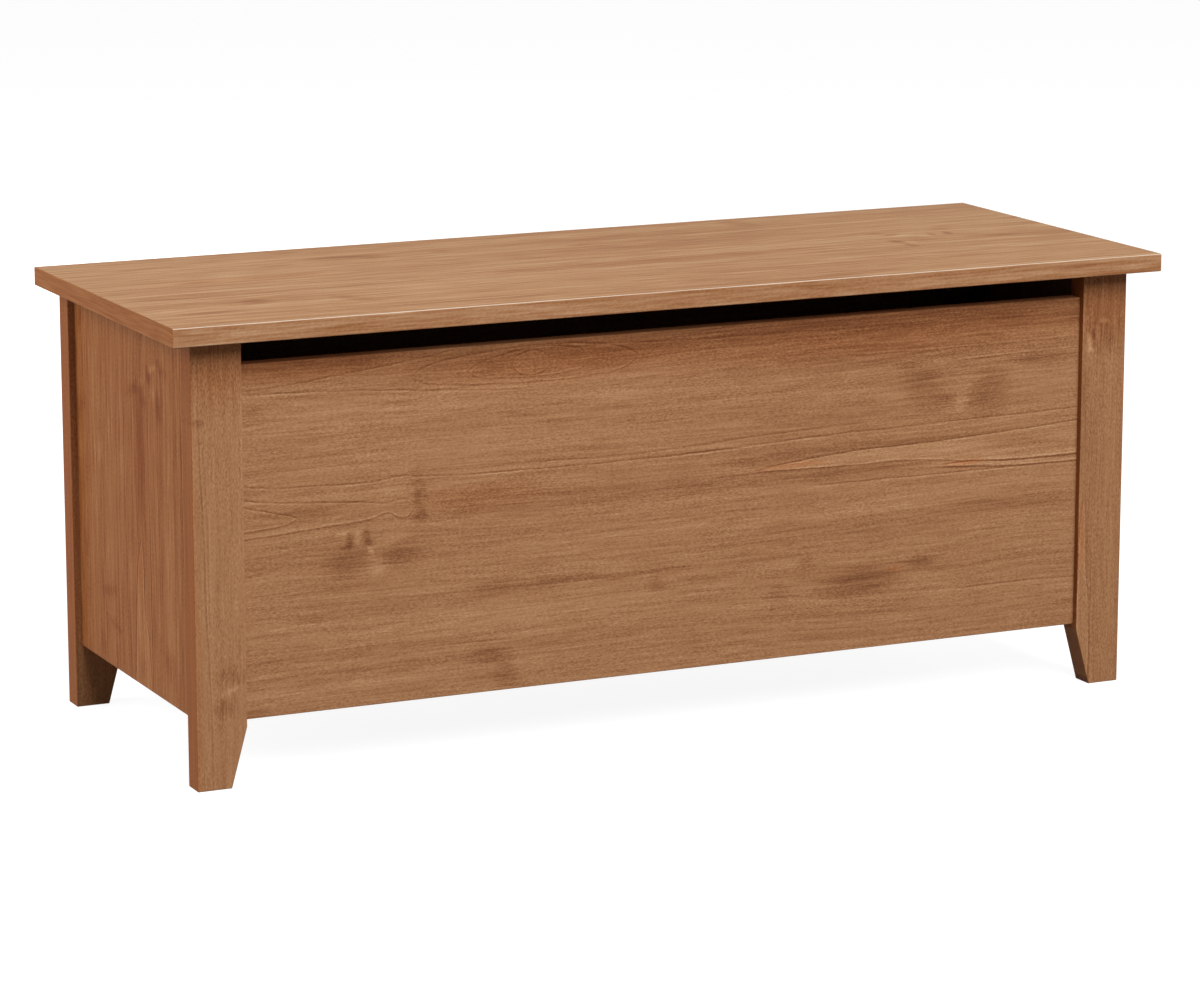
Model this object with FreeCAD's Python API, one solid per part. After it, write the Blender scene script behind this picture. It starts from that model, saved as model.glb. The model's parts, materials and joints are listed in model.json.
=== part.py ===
# Toy box: a long wooden chest on four flat tapered legs. Its lid turns on two butt hinges at
# the back and is held at any angle by a damped telescopic stay at each end.
# Millimetres. The origin lies on the floor under the middle of the lid. +X runs to the right
# along the chest, +Y to the back and +Z up.
import FreeCAD, Part
import math
import os
from collections import namedtuple

V = FreeCAD.Vector
ALONG_X = V(1, 0, 0)
ALONG_Y = V(0, 1, 0)
ALONG_Z = V(0, 0, 1)
UP = 1
DOWN = -1

# Lid
LID_LENGTH = 1050.0
LID_DEPTH = 400.0
LID_THICKNESS = 18.0
LID_END_OVERHANG = 25.0
LID_FRONT_OVERHANG = 25.0
LID_FRONT_ROUNDING = 2.0
LID_OPEN_ANGLE = 80.0

# Legs
LEG_HEIGHT = 426.0
LEG_WIDTH = 50.0
LEG_THICKNESS = 25.0
FOOT_WIDTH = 34.0
FOOT_TAPER_HEIGHT = 58.0

# Panels between the legs
PANEL_THICKNESS = 18.0
PANEL_FLOOR_GAP = 63.0
FINGER_GAP = 26.0
SIDE_PANEL_REVEAL = 7.0
EDGE_ROUNDING = 0.8

# Base panel and the battens under it
BASE_THICKNESS = 12.0
BASE_LAYING_GAP = 1.0
BATTEN_HEIGHT = 20.0
BATTEN_WIDTH = 20.0
BATTEN_END_GAP = 2.0
BATTEN_SCREW_END_DISTANCE = 60.0
LONG_BATTEN_SCREWS = 4
SHORT_BATTEN_SCREWS = 3

# Dowels and cam fittings between panels and legs
DOWEL_RADIUS = 4.0
DOWEL_LENGTH = 30.0
DOWEL_CHAMFER = 0.8
CAM_RADIUS = 7.5
CAM_SETBACK = 34.0
CAM_END_DISTANCE = 60.0
CAM_TO_DOWEL = 32.0
CAM_FLOOR = 1.0
CAM_CROSS_LENGTH = 9.0
CAM_CROSS_WIDTH = 1.4
CAM_CROSS_DEPTH = 2.5
CAM_BOLT_THREAD_RADIUS = 3.0
CAM_BOLT_THREAD_LENGTH = 11.0
CAM_BOLT_SHANK_RADIUS = 2.2
CAM_BOLT_HEAD_RADIUS = 3.3
CAM_BOLT_HEAD_LENGTH = 3.0
CAM_BOLT_COLLAR_LENGTH = 2.0
FITTING_GAP = 0.05
CAM_SLOT_GAP = 0.3
HOLE_END_GAP = 1.0

# Countersunk screws
BATTEN_SCREW_HEAD = 7.6
BATTEN_SCREW_SHANK = 4.0
BATTEN_SCREW_LENGTH = 32.0
HINGE_SCREW_HEAD = 6.0
HINGE_SCREW_SHANK = 3.2
HINGE_SCREW_LENGTH = 13.0
STAY_SCREW_HEAD = 7.0
STAY_SCREW_SHANK = 3.5
STAY_SCREW_LENGTH = 13.0

# Hinges
HINGE_END_DISTANCE = 140.0
HINGE_LENGTH = 60.0
HINGE_KNUCKLES = 5
HINGE_KNUCKLE_RADIUS = 3.0
HINGE_KNUCKLE_GAP = 0.4
HINGE_PIN_RADIUS = 1.5
HINGE_PIN_GAP = 0.05
HINGE_PIN_HEAD_RADIUS = 2.4
HINGE_PIN_HEAD_LENGTH = 1.2
HINGE_LEAF_THICKNESS = 1.5
HINGE_LEAF_DEPTH = 14.0
HINGE_SCREW_SPACING = 20.0
HINGE_SIDE_GAP = 0.4
HINGE_MORTISE_GAP = 0.2

# Lid stays
STAY_LID_PIVOT_DROP = 16.0
STAY_CARCASS_SETBACK = 16.0
STAY_PANEL_DISTANCE = 11.0
STAY_TUBE_RADIUS = 7.5
STAY_TUBE_WALL = 1.5
STAY_TUBE_BASE = 4.0
STAY_TUBE_ROUNDING = 1.2
STAY_GUIDE_LENGTH = 12.0
STAY_GUIDE_RECESS = 1.0
STAY_ROD_RADIUS = 3.0
STAY_PISTON_LENGTH = 8.0
STAY_SLIDING_GAP = 0.1
STAY_TRAVEL_SPARE = 4.0
STAY_ROD_SHOWING = 4.0
STAY_EYE_RADIUS = 7.0
STAY_EYE_WIDTH = 9.0
STAY_EYE_REACH = 14.0
STAY_NECK_RADIUS = 4.0
STAY_STUD_RADIUS = 3.0
STAY_STUD_GAP = 0.05
STAY_SHOULDER_RADIUS = 4.6
STAY_EYE_SIDE_GAP = 0.5
STAY_CLIP_RADIUS = 5.0
STAY_CLIP_THICKNESS = 1.0
STAY_CLIP_MOUTH = 3.6
STAY_GROOVE_DEPTH = 0.6
STAY_STUD_END = 1.2
BRACKET_THICKNESS = 2.0
BRACKET_LENGTH = 46.0
BRACKET_WIDTH = 20.0
BRACKET_SCREW_SPACING = 32.0
BRACKET_PANEL_GAP = 1.5

# Derived places
BODY_END = LID_LENGTH / 2 - LID_END_OVERHANG
BACK = LID_DEPTH / 2
FRONT = LID_FRONT_OVERHANG - LID_DEPTH / 2
FRONT_INSIDE = FRONT + LEG_THICKNESS
REAR_LEG_FRONT = BACK - LEG_THICKNESS
BACK_INSIDE = BACK - PANEL_THICKNESS
BETWEEN_LEGS = BODY_END - LEG_WIDTH
SIDE_OUTSIDE = BODY_END - SIDE_PANEL_REVEAL
SIDE_INSIDE = SIDE_OUTSIDE - PANEL_THICKNESS
PANEL_BOTTOM = PANEL_FLOOR_GAP
FRONT_PANEL_TOP = LEG_HEIGHT - FINGER_GAP
BATTEN_TOP = PANEL_BOTTOM + BATTEN_HEIGHT
HINGE_Y = BACK + HINGE_KNUCKLE_RADIUS + HINGE_SIDE_GAP
HINGE_Z = LEG_HEIGHT
CAM_DEPTH = PANEL_THICKNESS / 2 + CAM_BOLT_HEAD_RADIUS + CAM_SLOT_GAP + CAM_FLOOR
ScrewSize = namedtuple("ScrewSize", "head shank length")
BATTEN_SCREW = ScrewSize(BATTEN_SCREW_HEAD, BATTEN_SCREW_SHANK, BATTEN_SCREW_LENGTH)
HINGE_SCREW = ScrewSize(HINGE_SCREW_HEAD, HINGE_SCREW_SHANK, HINGE_SCREW_LENGTH)
STAY_SCREW = ScrewSize(STAY_SCREW_HEAD, STAY_SCREW_SHANK, STAY_SCREW_LENGTH)


def block(x_range, y_range, z_range):
    """A plain block between two planes in each direction."""
    x, y, z = sorted(x_range), sorted(y_range), sorted(z_range)
    return Part.makeBox(x[1] - x[0], y[1] - y[0], z[1] - z[0], V(x[0], y[0], z[0]))


def bar(radius, length, start, direction):
    """A round bar from a point along a direction."""
    return Part.makeCylinder(radius, length, start, direction)


def united(solids):
    """One solid made of several that touch or overlap."""
    return solids[0].multiFuse(solids[1:]).removeSplitter()


def mirrored(shape):
    """The same piece for the other end of the chest."""
    return shape.mirror(V(0, 0, 0), ALONG_X)


def flipped(vector):
    """The same place or direction at the other end of the chest."""
    return V(-vector.x, vector.y, vector.z)


def runs(edge, direction):
    """True for a straight edge along a direction."""
    along = edge.Vertexes[-1].Point - edge.Vertexes[0].Point
    return abs(along.dot(direction)) > 0.999 * along.Length


def eased(board, direction):
    """A board whose edges in one direction are rounded."""
    edges = [edge for edge in board.Edges if runs(edge, direction)]
    return board.makeFillet(EDGE_ROUNDING, edges)


def rims(cylinder):
    """The two round edges of a plain cylinder."""
    return [edge for edge in cylinder.Edges if len(edge.Vertexes) == 1]


def screw(size, head_face, direction):
    """A countersunk screw with its flat head at a point and its tip along a direction."""
    head_depth = (size.head - size.shank) / 2
    tip_length = size.shank
    head = Part.makeCone(size.head / 2, size.shank / 2, head_depth, head_face, direction)
    shank_start = head_face + direction * head_depth
    shank = bar(size.shank / 2, size.length - head_depth - tip_length, shank_start, direction)
    tip_start = head_face + direction * (size.length - tip_length)
    tip = Part.makeCone(size.shank / 2, size.shank / 8, tip_length, tip_start, direction)
    return united([head, shank, tip])


def screw_hole(size, head_face, direction):
    """The hole that a screw fills, a little longer than its tip."""
    head_depth = (size.head - size.shank) / 2
    radius = size.shank / 2 + FITTING_GAP
    sink = Part.makeCone(size.head / 2, size.shank / 2, head_depth, head_face, direction)
    return united([sink, bar(radius, size.length + HOLE_END_GAP, head_face, direction)])


# Where a panel's end meets a leg: a point at mid thickness, the way into the panel, the way to
# the chest's inside, and the heights of the panel's bottom and top.
Meeting = namedtuple("Meeting", "point inward inside bottom top")


def cam_heights(meeting):
    return [meeting.bottom + CAM_END_DISTANCE, meeting.top - CAM_END_DISTANCE]


def dowel_heights(meeting):
    reach = CAM_END_DISTANCE + CAM_TO_DOWEL
    return [meeting.bottom + reach, meeting.top - reach]


def at_height(meeting, height):
    return meeting.point + ALONG_Z * height


def centred_bar(radius, length, meeting, height):
    """A round bar with its middle where the panel meets the leg."""
    start = at_height(meeting, height) - meeting.inward * length / 2
    return bar(radius, length, start, meeting.inward)


def dowels(meeting):
    """Dowels half in the leg and half in the panel, chamfered at both ends."""
    plain = [centred_bar(DOWEL_RADIUS, DOWEL_LENGTH, meeting, height) for height in dowel_heights(meeting)]
    return [dowel.makeChamfer(DOWEL_CHAMFER, rims(dowel)) for dowel in plain]


def dowel_holes(meeting):
    radius = DOWEL_RADIUS + FITTING_GAP
    length = DOWEL_LENGTH + 2 * HOLE_END_GAP
    return [centred_bar(radius, length, meeting, height) for height in dowel_heights(meeting)]


def cam_bolt(meeting, height):
    """A bolt screwed into the leg up to its collar, with its head in the panel's cam."""
    face = at_height(meeting, height)
    head_distance = CAM_SETBACK - CAM_BOLT_HEAD_LENGTH / 2
    head_start = face + meeting.inward * head_distance
    thread = bar(CAM_BOLT_THREAD_RADIUS, CAM_BOLT_THREAD_LENGTH, face, -meeting.inward)
    collar = bar(CAM_BOLT_HEAD_RADIUS, CAM_BOLT_COLLAR_LENGTH, face, meeting.inward)
    shank = bar(CAM_BOLT_SHANK_RADIUS, head_distance, face, meeting.inward)
    head = bar(CAM_BOLT_HEAD_RADIUS, CAM_BOLT_HEAD_LENGTH, head_start, meeting.inward)
    return united([thread, collar, shank, head])


def cam_bolt_holes(meeting, height):
    """The bolt's thread hole in the leg and its wider passage in the panel."""
    face = at_height(meeting, height)
    thread_length = CAM_BOLT_THREAD_LENGTH + HOLE_END_GAP
    thread = bar(CAM_BOLT_THREAD_RADIUS + FITTING_GAP, thread_length, face, -meeting.inward)
    passage = bar(CAM_BOLT_HEAD_RADIUS + CAM_SLOT_GAP, CAM_SETBACK, face, meeting.inward)
    return [thread, passage]


def cam_mouth(meeting, height):
    """The middle of a cam's face, on the panel's inner side."""
    face = at_height(meeting, height)
    return face + meeting.inward * CAM_SETBACK + meeting.inside * PANEL_THICKNESS / 2


def cam_hole(meeting, height):
    return bar(CAM_RADIUS, CAM_DEPTH, cam_mouth(meeting, height), -meeting.inside)


def cam_lock(meeting, height):
    """A round cam with a passage for the bolt's head and a cross for the driver."""
    mouth = cam_mouth(meeting, height)
    body = bar(CAM_RADIUS - FITTING_GAP, CAM_DEPTH, mouth, -meeting.inside)
    slot_end = CAM_SETBACK + CAM_BOLT_HEAD_LENGTH / 2 + CAM_SLOT_GAP
    slot_start = at_height(meeting, height) + meeting.inward * slot_end
    slot = bar(CAM_BOLT_HEAD_RADIUS + CAM_SLOT_GAP, slot_end, slot_start, -meeting.inward)
    cuts = [slot]
    for along, across in ((ALONG_Z, meeting.inward), (meeting.inward, ALONG_Z)):
        half_long = along * CAM_CROSS_LENGTH / 2
        half_wide = across * CAM_CROSS_WIDTH / 2
        near, far = mouth - half_long, mouth + half_long
        corners = [near - half_wide, far - half_wide, far + half_wide, near + half_wide, near - half_wide]
        cuts.append(Part.Face(Part.makePolygon(corners)).extrude(-meeting.inside * CAM_CROSS_DEPTH))
    return body.cut(cuts)


def joint_holes(meeting):
    """Everything drilled in the leg and the panel where they meet."""
    holes = dowel_holes(meeting)
    for height in cam_heights(meeting):
        holes += cam_bolt_holes(meeting, height)
        holes.append(cam_hole(meeting, height))
    return holes


# The four meetings at the left end. The right end mirrors them.
FRONT_PANEL_Y = FRONT_INSIDE - PANEL_THICKNESS / 2
BACK_PANEL_Y = BACK - PANEL_THICKNESS / 2
SIDE_PANEL_X = SIDE_INSIDE + PANEL_THICKNESS / 2
FRONT_PANEL_END = V(-BETWEEN_LEGS, FRONT_PANEL_Y, 0)
BACK_PANEL_END = V(-BETWEEN_LEGS, BACK_PANEL_Y, 0)
SIDE_FRONT_END = V(-SIDE_PANEL_X, FRONT_INSIDE, 0)
SIDE_REAR_END = V(-SIDE_PANEL_X, REAR_LEG_FRONT, 0)
FRONT_PANEL_JOINT = Meeting(FRONT_PANEL_END, ALONG_X, ALONG_Y, PANEL_BOTTOM, FRONT_PANEL_TOP)
BACK_PANEL_JOINT = Meeting(BACK_PANEL_END, ALONG_X, -ALONG_Y, PANEL_BOTTOM, LEG_HEIGHT)
SIDE_FRONT_JOINT = Meeting(SIDE_FRONT_END, ALONG_Y, ALONG_X, PANEL_BOTTOM, LEG_HEIGHT)
SIDE_REAR_JOINT = Meeting(SIDE_REAR_END, -ALONG_Y, ALONG_X, PANEL_BOTTOM, LEG_HEIGHT)
LEFT_JOINTS = [FRONT_PANEL_JOINT, BACK_PANEL_JOINT, SIDE_FRONT_JOINT, SIDE_REAR_JOINT]


def opposite(meeting):
    """The same meeting at the right end."""
    point, inward, inside = flipped(meeting.point), flipped(meeting.inward), flipped(meeting.inside)
    return Meeting(point, inward, inside, meeting.bottom, meeting.top)


ALL_JOINTS = LEFT_JOINTS + [opposite(meeting) for meeting in LEFT_JOINTS]


def left_leg(front_face, joints):
    """A flat leg at the left end, tapered on its inner side down to the foot."""
    corners = [
        V(-BODY_END, front_face, 0),
        V(-BODY_END + FOOT_WIDTH, front_face, 0),
        V(-BETWEEN_LEGS, front_face, FOOT_TAPER_HEIGHT),
        V(-BETWEEN_LEGS, front_face, LEG_HEIGHT),
        V(-BODY_END, front_face, LEG_HEIGHT),
    ]
    outline = Part.Face(Part.makePolygon(corners + corners[:1]))
    board = outline.extrude(ALONG_Y * LEG_THICKNESS)
    board = board.makeFillet(EDGE_ROUNDING, board.Edges)
    holes = [hole for meeting in joints for hole in joint_holes(meeting)]
    return board.cut(holes)


# Battens: each has its screws along its middle height, driven outwards into the panel.
def batten_screw_places(first, last, count):
    """Screw heads spread evenly between two end points."""
    return [first + (last - first) * (number / (count - 1)) for number in range(count)]


BATTEN_SCREW_Z = PANEL_BOTTOM + BATTEN_HEIGHT / 2
LONG_BATTEN_END = BETWEEN_LEGS - BATTEN_END_GAP
LONG_SCREW_X = LONG_BATTEN_END - BATTEN_SCREW_END_DISTANCE
SHORT_BATTEN_FRONT = FRONT_INSIDE + BATTEN_END_GAP
SHORT_BATTEN_REAR = REAR_LEG_FRONT - BATTEN_END_GAP
FRONT_BATTEN_FACE = FRONT_INSIDE + BATTEN_WIDTH
REAR_BATTEN_FACE = BACK_INSIDE - BATTEN_WIDTH
LEFT_BATTEN_FACE = -SIDE_INSIDE + BATTEN_WIDTH
FRONT_BATTEN_SCREWS = batten_screw_places(
    V(-LONG_SCREW_X, FRONT_BATTEN_FACE, BATTEN_SCREW_Z),
    V(LONG_SCREW_X, FRONT_BATTEN_FACE, BATTEN_SCREW_Z),
    LONG_BATTEN_SCREWS,
)
REAR_BATTEN_SCREWS = batten_screw_places(
    V(-LONG_SCREW_X, REAR_BATTEN_FACE, BATTEN_SCREW_Z),
    V(LONG_SCREW_X, REAR_BATTEN_FACE, BATTEN_SCREW_Z),
    LONG_BATTEN_SCREWS,
)
LEFT_BATTEN_SCREWS = batten_screw_places(
    V(LEFT_BATTEN_FACE, SHORT_BATTEN_FRONT + BATTEN_SCREW_END_DISTANCE, BATTEN_SCREW_Z),
    V(LEFT_BATTEN_FACE, SHORT_BATTEN_REAR - BATTEN_SCREW_END_DISTANCE, BATTEN_SCREW_Z),
    SHORT_BATTEN_SCREWS,
)


def batten(x_range, y_range, direction, places):
    """A square batten with countersunk holes."""
    strip = block(x_range, y_range, (PANEL_BOTTOM, BATTEN_TOP))
    return strip.cut([screw_hole(BATTEN_SCREW, place, direction) for place in places])


# Hinges
HINGE_CENTRES = (HINGE_END_DISTANCE - BETWEEN_LEGS, BETWEEN_LEGS - HINGE_END_DISTANCE)
KNUCKLE_LENGTH = HINGE_LENGTH / HINGE_KNUCKLES
HINGE_SCREW_Y = BACK - HINGE_LEAF_DEPTH / 2


def hinge_screw_places(centre):
    steps = (-1, 0, 1)
    return [V(centre + step * HINGE_SCREW_SPACING, HINGE_SCREW_Y, HINGE_Z) for step in steps]


def hinge_leaf(centre, up, first_knuckle):
    """A leaf lying above or below the seam, with every second knuckle round the pin."""
    seam_to_back = (HINGE_Z, HINGE_Z + up * HINGE_LEAF_THICKNESS)
    ends = (centre - HINGE_LENGTH / 2, centre + HINGE_LENGTH / 2)
    solids = [block(ends, (BACK - HINGE_LEAF_DEPTH, BACK), seam_to_back)]
    for number in range(first_knuckle, HINGE_KNUCKLES, 2):
        start = ends[0] + number * KNUCKLE_LENGTH + HINGE_KNUCKLE_GAP / 2
        length = KNUCKLE_LENGTH - HINGE_KNUCKLE_GAP
        solids.append(block((start, start + length), (BACK, HINGE_Y), seam_to_back))
        solids.append(bar(HINGE_KNUCKLE_RADIUS, length, V(start, HINGE_Y, HINGE_Z), ALONG_X))
    bore_start = V(ends[0] - HINGE_LENGTH, HINGE_Y, HINGE_Z)
    holes = [bar(HINGE_PIN_RADIUS + HINGE_PIN_GAP, 3 * HINGE_LENGTH, bore_start, ALONG_X)]
    holes += [screw_hole(HINGE_SCREW, place, ALONG_Z * up) for place in hinge_screw_places(centre)]
    return united(solids).cut(holes)


def hinge_pin(centre):
    """A pin with a flat head at each end, just clear of the outer knuckles."""
    half = HINGE_LENGTH / 2
    start = V(centre - half, HINGE_Y, HINGE_Z)
    pin = bar(HINGE_PIN_RADIUS, HINGE_LENGTH, start, ALONG_X)
    left_head = bar(HINGE_PIN_HEAD_RADIUS, HINGE_PIN_HEAD_LENGTH, start, -ALONG_X)
    end = start + ALONG_X * HINGE_LENGTH
    right_head = bar(HINGE_PIN_HEAD_RADIUS, HINGE_PIN_HEAD_LENGTH, end, ALONG_X)
    return united([pin, left_head, right_head])


def hinge_mortise(centre, up):
    """The shallow pocket that a leaf lies in."""
    half = HINGE_LENGTH / 2 + HINGE_MORTISE_GAP
    front = BACK - HINGE_LEAF_DEPTH - HINGE_MORTISE_GAP
    floor = HINGE_Z + up * HINGE_LEAF_THICKNESS
    return block((centre - half, centre + half), (front, BACK), (HINGE_Z, floor))


def hinge_cuts(up):
    """Mortises and screw holes for both hinges, in the back panel or in the lid."""
    cuts = [hinge_mortise(centre, up) for centre in HINGE_CENTRES]
    for centre in HINGE_CENTRES:
        cuts += [screw_hole(HINGE_SCREW, place, ALONG_Z * up) for place in hinge_screw_places(centre)]
    return cuts


# Lid stays. Both pivots lie at one radius from the hinge axis, so each stay turns by half of
# the lid's angle and its rod stays in line with its tube.
CARCASS_PIVOT_Y = REAR_LEG_FRONT - STAY_CARCASS_SETBACK
STAY_DEAD_LENGTH = 2 * STAY_EYE_REACH + STAY_ROD_SHOWING + STAY_TUBE_BASE + STAY_PISTON_LENGTH
STAY_DEAD_LENGTH += STAY_GUIDE_LENGTH + STAY_GUIDE_RECESS + 2 * STAY_TRAVEL_SPARE


def closed_angle(radius):
    """The angle between the two pivots, seen from the hinge axis, with the lid shut."""
    down_to_carcass = math.acos((HINGE_Y - CARCASS_PIVOT_Y) / radius)
    down_to_lid = math.asin(STAY_LID_PIVOT_DROP / radius)
    return down_to_carcass - down_to_lid


def stay_length(radius, lid_angle):
    """The distance between the two pivots at a lid angle."""
    return 2 * radius * math.sin((closed_angle(radius) + math.radians(lid_angle)) / 2)


# The pivots' radius is the least whole millimetre at which the shut stay holds its own travel.
STAY_RADIUS = math.ceil(HINGE_Y - CARCASS_PIVOT_Y + STAY_LID_PIVOT_DROP)
while 2 * stay_length(STAY_RADIUS, 0) - stay_length(STAY_RADIUS, LID_OPEN_ANGLE) < STAY_DEAD_LENGTH:
    STAY_RADIUS += 1

STAY_X = -SIDE_INSIDE + STAY_PANEL_DISTANCE
LID_PIVOT_Y = HINGE_Y - math.sqrt(STAY_RADIUS**2 - STAY_LID_PIVOT_DROP**2)
LID_PIVOT = V(STAY_X, LID_PIVOT_Y, HINGE_Z - STAY_LID_PIVOT_DROP)
CARCASS_PIVOT_Z = HINGE_Z - math.sqrt(STAY_RADIUS**2 - (HINGE_Y - CARCASS_PIVOT_Y) ** 2)
CARCASS_PIVOT = V(STAY_X, CARCASS_PIVOT_Y, CARCASS_PIVOT_Z)
STAY_LINE = (LID_PIVOT - CARCASS_PIVOT).normalize()
STAY_TUBE_LENGTH = stay_length(STAY_RADIUS, 0) - 2 * STAY_EYE_REACH - STAY_ROD_SHOWING
STAY_BORE_RADIUS = STAY_TUBE_RADIUS - STAY_TUBE_WALL
PISTON_PLACE = STAY_EYE_REACH + STAY_TUBE_BASE + STAY_TRAVEL_SPARE
ROD_PLACE = PISTON_PLACE + STAY_PISTON_LENGTH


def along_stay(distance):
    """A point on the shut stay, measured from its lower pivot."""
    return CARCASS_PIVOT + STAY_LINE * distance


def stay_tube():
    """The closed-ended tube, rounded at both ends."""
    base = along_stay(STAY_EYE_REACH)
    tube = bar(STAY_TUBE_RADIUS, STAY_TUBE_LENGTH, base, STAY_LINE)
    tube = tube.makeFillet(STAY_TUBE_ROUNDING, rims(tube))
    bore_start = along_stay(STAY_EYE_REACH + STAY_TUBE_BASE)
    return tube.cut(bar(STAY_BORE_RADIUS, STAY_TUBE_LENGTH, bore_start, STAY_LINE))


def stay_guide():
    """The ring in the tube's mouth that guides the rod."""
    top = STAY_EYE_REACH + STAY_TUBE_LENGTH - STAY_GUIDE_RECESS
    start = along_stay(top - STAY_GUIDE_LENGTH)
    ring = bar(STAY_BORE_RADIUS, STAY_GUIDE_LENGTH, start, STAY_LINE)
    return ring.cut(bar(STAY_ROD_RADIUS + STAY_SLIDING_GAP, STAY_GUIDE_LENGTH, start, STAY_LINE))


def stay_rod():
    """The rod from the piston to the upper eye."""
    length = stay_length(STAY_RADIUS, 0) - STAY_EYE_REACH - ROD_PLACE
    return bar(STAY_ROD_RADIUS, length, along_stay(ROD_PLACE), STAY_LINE)


def stay_piston():
    radius = STAY_BORE_RADIUS - STAY_SLIDING_GAP
    return bar(radius, STAY_PISTON_LENGTH, along_stay(PISTON_PLACE), STAY_LINE)


def stay_eye(pivot, direction):
    """A ring round a stud, with a neck that reaches to the tube or the rod."""
    ring = bar(STAY_EYE_RADIUS, STAY_EYE_WIDTH, pivot - ALONG_X * STAY_EYE_WIDTH / 2, ALONG_X)
    neck = bar(STAY_NECK_RADIUS, STAY_EYE_REACH, pivot, direction)
    bore_start = pivot - ALONG_X * STAY_EYE_WIDTH
    bore = bar(STAY_STUD_RADIUS + STAY_STUD_GAP, 2 * STAY_EYE_WIDTH, bore_start, ALONG_X)
    return united([ring, neck]).cut(bore)


CLIP_X = STAY_X + STAY_EYE_WIDTH / 2 + STAY_EYE_SIDE_GAP
STUD_END_X = CLIP_X + STAY_CLIP_THICKNESS + STAY_STUD_END
GROOVE_RADIUS = STAY_STUD_RADIUS - STAY_GROOVE_DEPTH


def stay_stud(pivot, start_x):
    """A shouldered stud that stands on a bracket, grooved near its end for a clip."""
    start = V(start_x, pivot.y, pivot.z)
    shoulder_end = STAY_X - STAY_EYE_WIDTH / 2 - STAY_EYE_SIDE_GAP
    shoulder = bar(STAY_SHOULDER_RADIUS, shoulder_end - start_x, start, ALONG_X)
    stud = bar(STAY_STUD_RADIUS, STUD_END_X - start_x, start, ALONG_X)
    groove_start = V(CLIP_X, pivot.y, pivot.z)
    groove = bar(STAY_CLIP_RADIUS, STAY_CLIP_THICKNESS, groove_start, ALONG_X)
    groove = groove.cut(bar(GROOVE_RADIUS, STAY_CLIP_THICKNESS, groove_start, ALONG_X))
    return united([shoulder, stud]).cut(groove)


def stay_clip(pivot):
    """An open ring in the stud's groove, with its mouth downwards."""
    start = V(CLIP_X, pivot.y, pivot.z)
    ring = bar(STAY_CLIP_RADIUS, STAY_CLIP_THICKNESS, start, ALONG_X)
    hole = bar(GROOVE_RADIUS, STAY_CLIP_THICKNESS, start, ALONG_X)
    mouth = block(
        (CLIP_X, CLIP_X + STAY_CLIP_THICKNESS),
        (pivot.y - STAY_CLIP_MOUTH / 2, pivot.y + STAY_CLIP_MOUTH / 2),
        (pivot.z - 2 * STAY_CLIP_RADIUS, pivot.z),
    )
    return ring.cut([hole, mouth])


CARCASS_BRACKET_FACE = -SIDE_INSIDE + BRACKET_THICKNESS
LID_BRACKET_EDGE = -SIDE_INSIDE + BRACKET_PANEL_GAP
LID_BRACKET_FACE = HINGE_Z - BRACKET_THICKNESS
LID_BRACKET_WIDTH = 2 * STAY_PANEL_DISTANCE - 2 * BRACKET_PANEL_GAP + BRACKET_WIDTH / 2
BRACKET_SCREW_STEPS = (-BRACKET_SCREW_SPACING / 2, BRACKET_SCREW_SPACING / 2)
LID_BRACKET_SCREW_X = LID_BRACKET_EDGE + LID_BRACKET_WIDTH / 2
CARCASS_BRACKET_SCREWS = [
    V(CARCASS_BRACKET_FACE, CARCASS_PIVOT.y, CARCASS_PIVOT.z + step) for step in BRACKET_SCREW_STEPS
]
LID_BRACKET_SCREWS = [
    V(LID_BRACKET_SCREW_X, LID_PIVOT.y + step, LID_BRACKET_FACE) for step in BRACKET_SCREW_STEPS
]


def stay_carcass_bracket():
    """An upright plate with round ends on the side panel, with a stud in its middle."""
    half_width = BRACKET_WIDTH / 2
    straight = BRACKET_LENGTH / 2 - half_width
    centre = V(-SIDE_INSIDE, CARCASS_PIVOT.y, CARCASS_PIVOT.z)
    solids = [
        block(
            (-SIDE_INSIDE, CARCASS_BRACKET_FACE),
            (centre.y - half_width, centre.y + half_width),
            (centre.z - straight, centre.z + straight),
        )
    ]
    for step in (-straight, straight):
        solids.append(bar(half_width, BRACKET_THICKNESS, centre + ALONG_Z * step, ALONG_X))
    solids.append(stay_stud(CARCASS_PIVOT, CARCASS_BRACKET_FACE))
    holes = [screw_hole(STAY_SCREW, place, -ALONG_X) for place in CARCASS_BRACKET_SCREWS]
    return united(solids).cut(holes)


def stay_lid_bracket():
    """An angle under the lid: a plate on the lid and a round-ended tab that carries the stud."""
    half_length = BRACKET_LENGTH / 2
    half_tab = BRACKET_WIDTH / 2
    tab_face = LID_BRACKET_EDGE + BRACKET_THICKNESS
    plate = block(
        (LID_BRACKET_EDGE, LID_BRACKET_EDGE + LID_BRACKET_WIDTH),
        (LID_PIVOT.y - half_length, LID_PIVOT.y + half_length),
        (LID_BRACKET_FACE, HINGE_Z),
    )
    corners = [edge for edge in plate.Edges if runs(edge, ALONG_Z)]
    plate = plate.makeFillet(BRACKET_THICKNESS, corners)
    tab = block(
        (LID_BRACKET_EDGE, tab_face),
        (LID_PIVOT.y - half_tab, LID_PIVOT.y + half_tab),
        (LID_PIVOT.z, HINGE_Z),
    )
    tab_centre = V(LID_BRACKET_EDGE, LID_PIVOT.y, LID_PIVOT.z)
    tab_end = bar(half_tab, BRACKET_THICKNESS, tab_centre, ALONG_X)
    holes = [screw_hole(STAY_SCREW, place, ALONG_Z) for place in LID_BRACKET_SCREWS]
    return united([plate, tab, tab_end, stay_stud(LID_PIVOT, tab_face)]).cut(holes)


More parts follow.
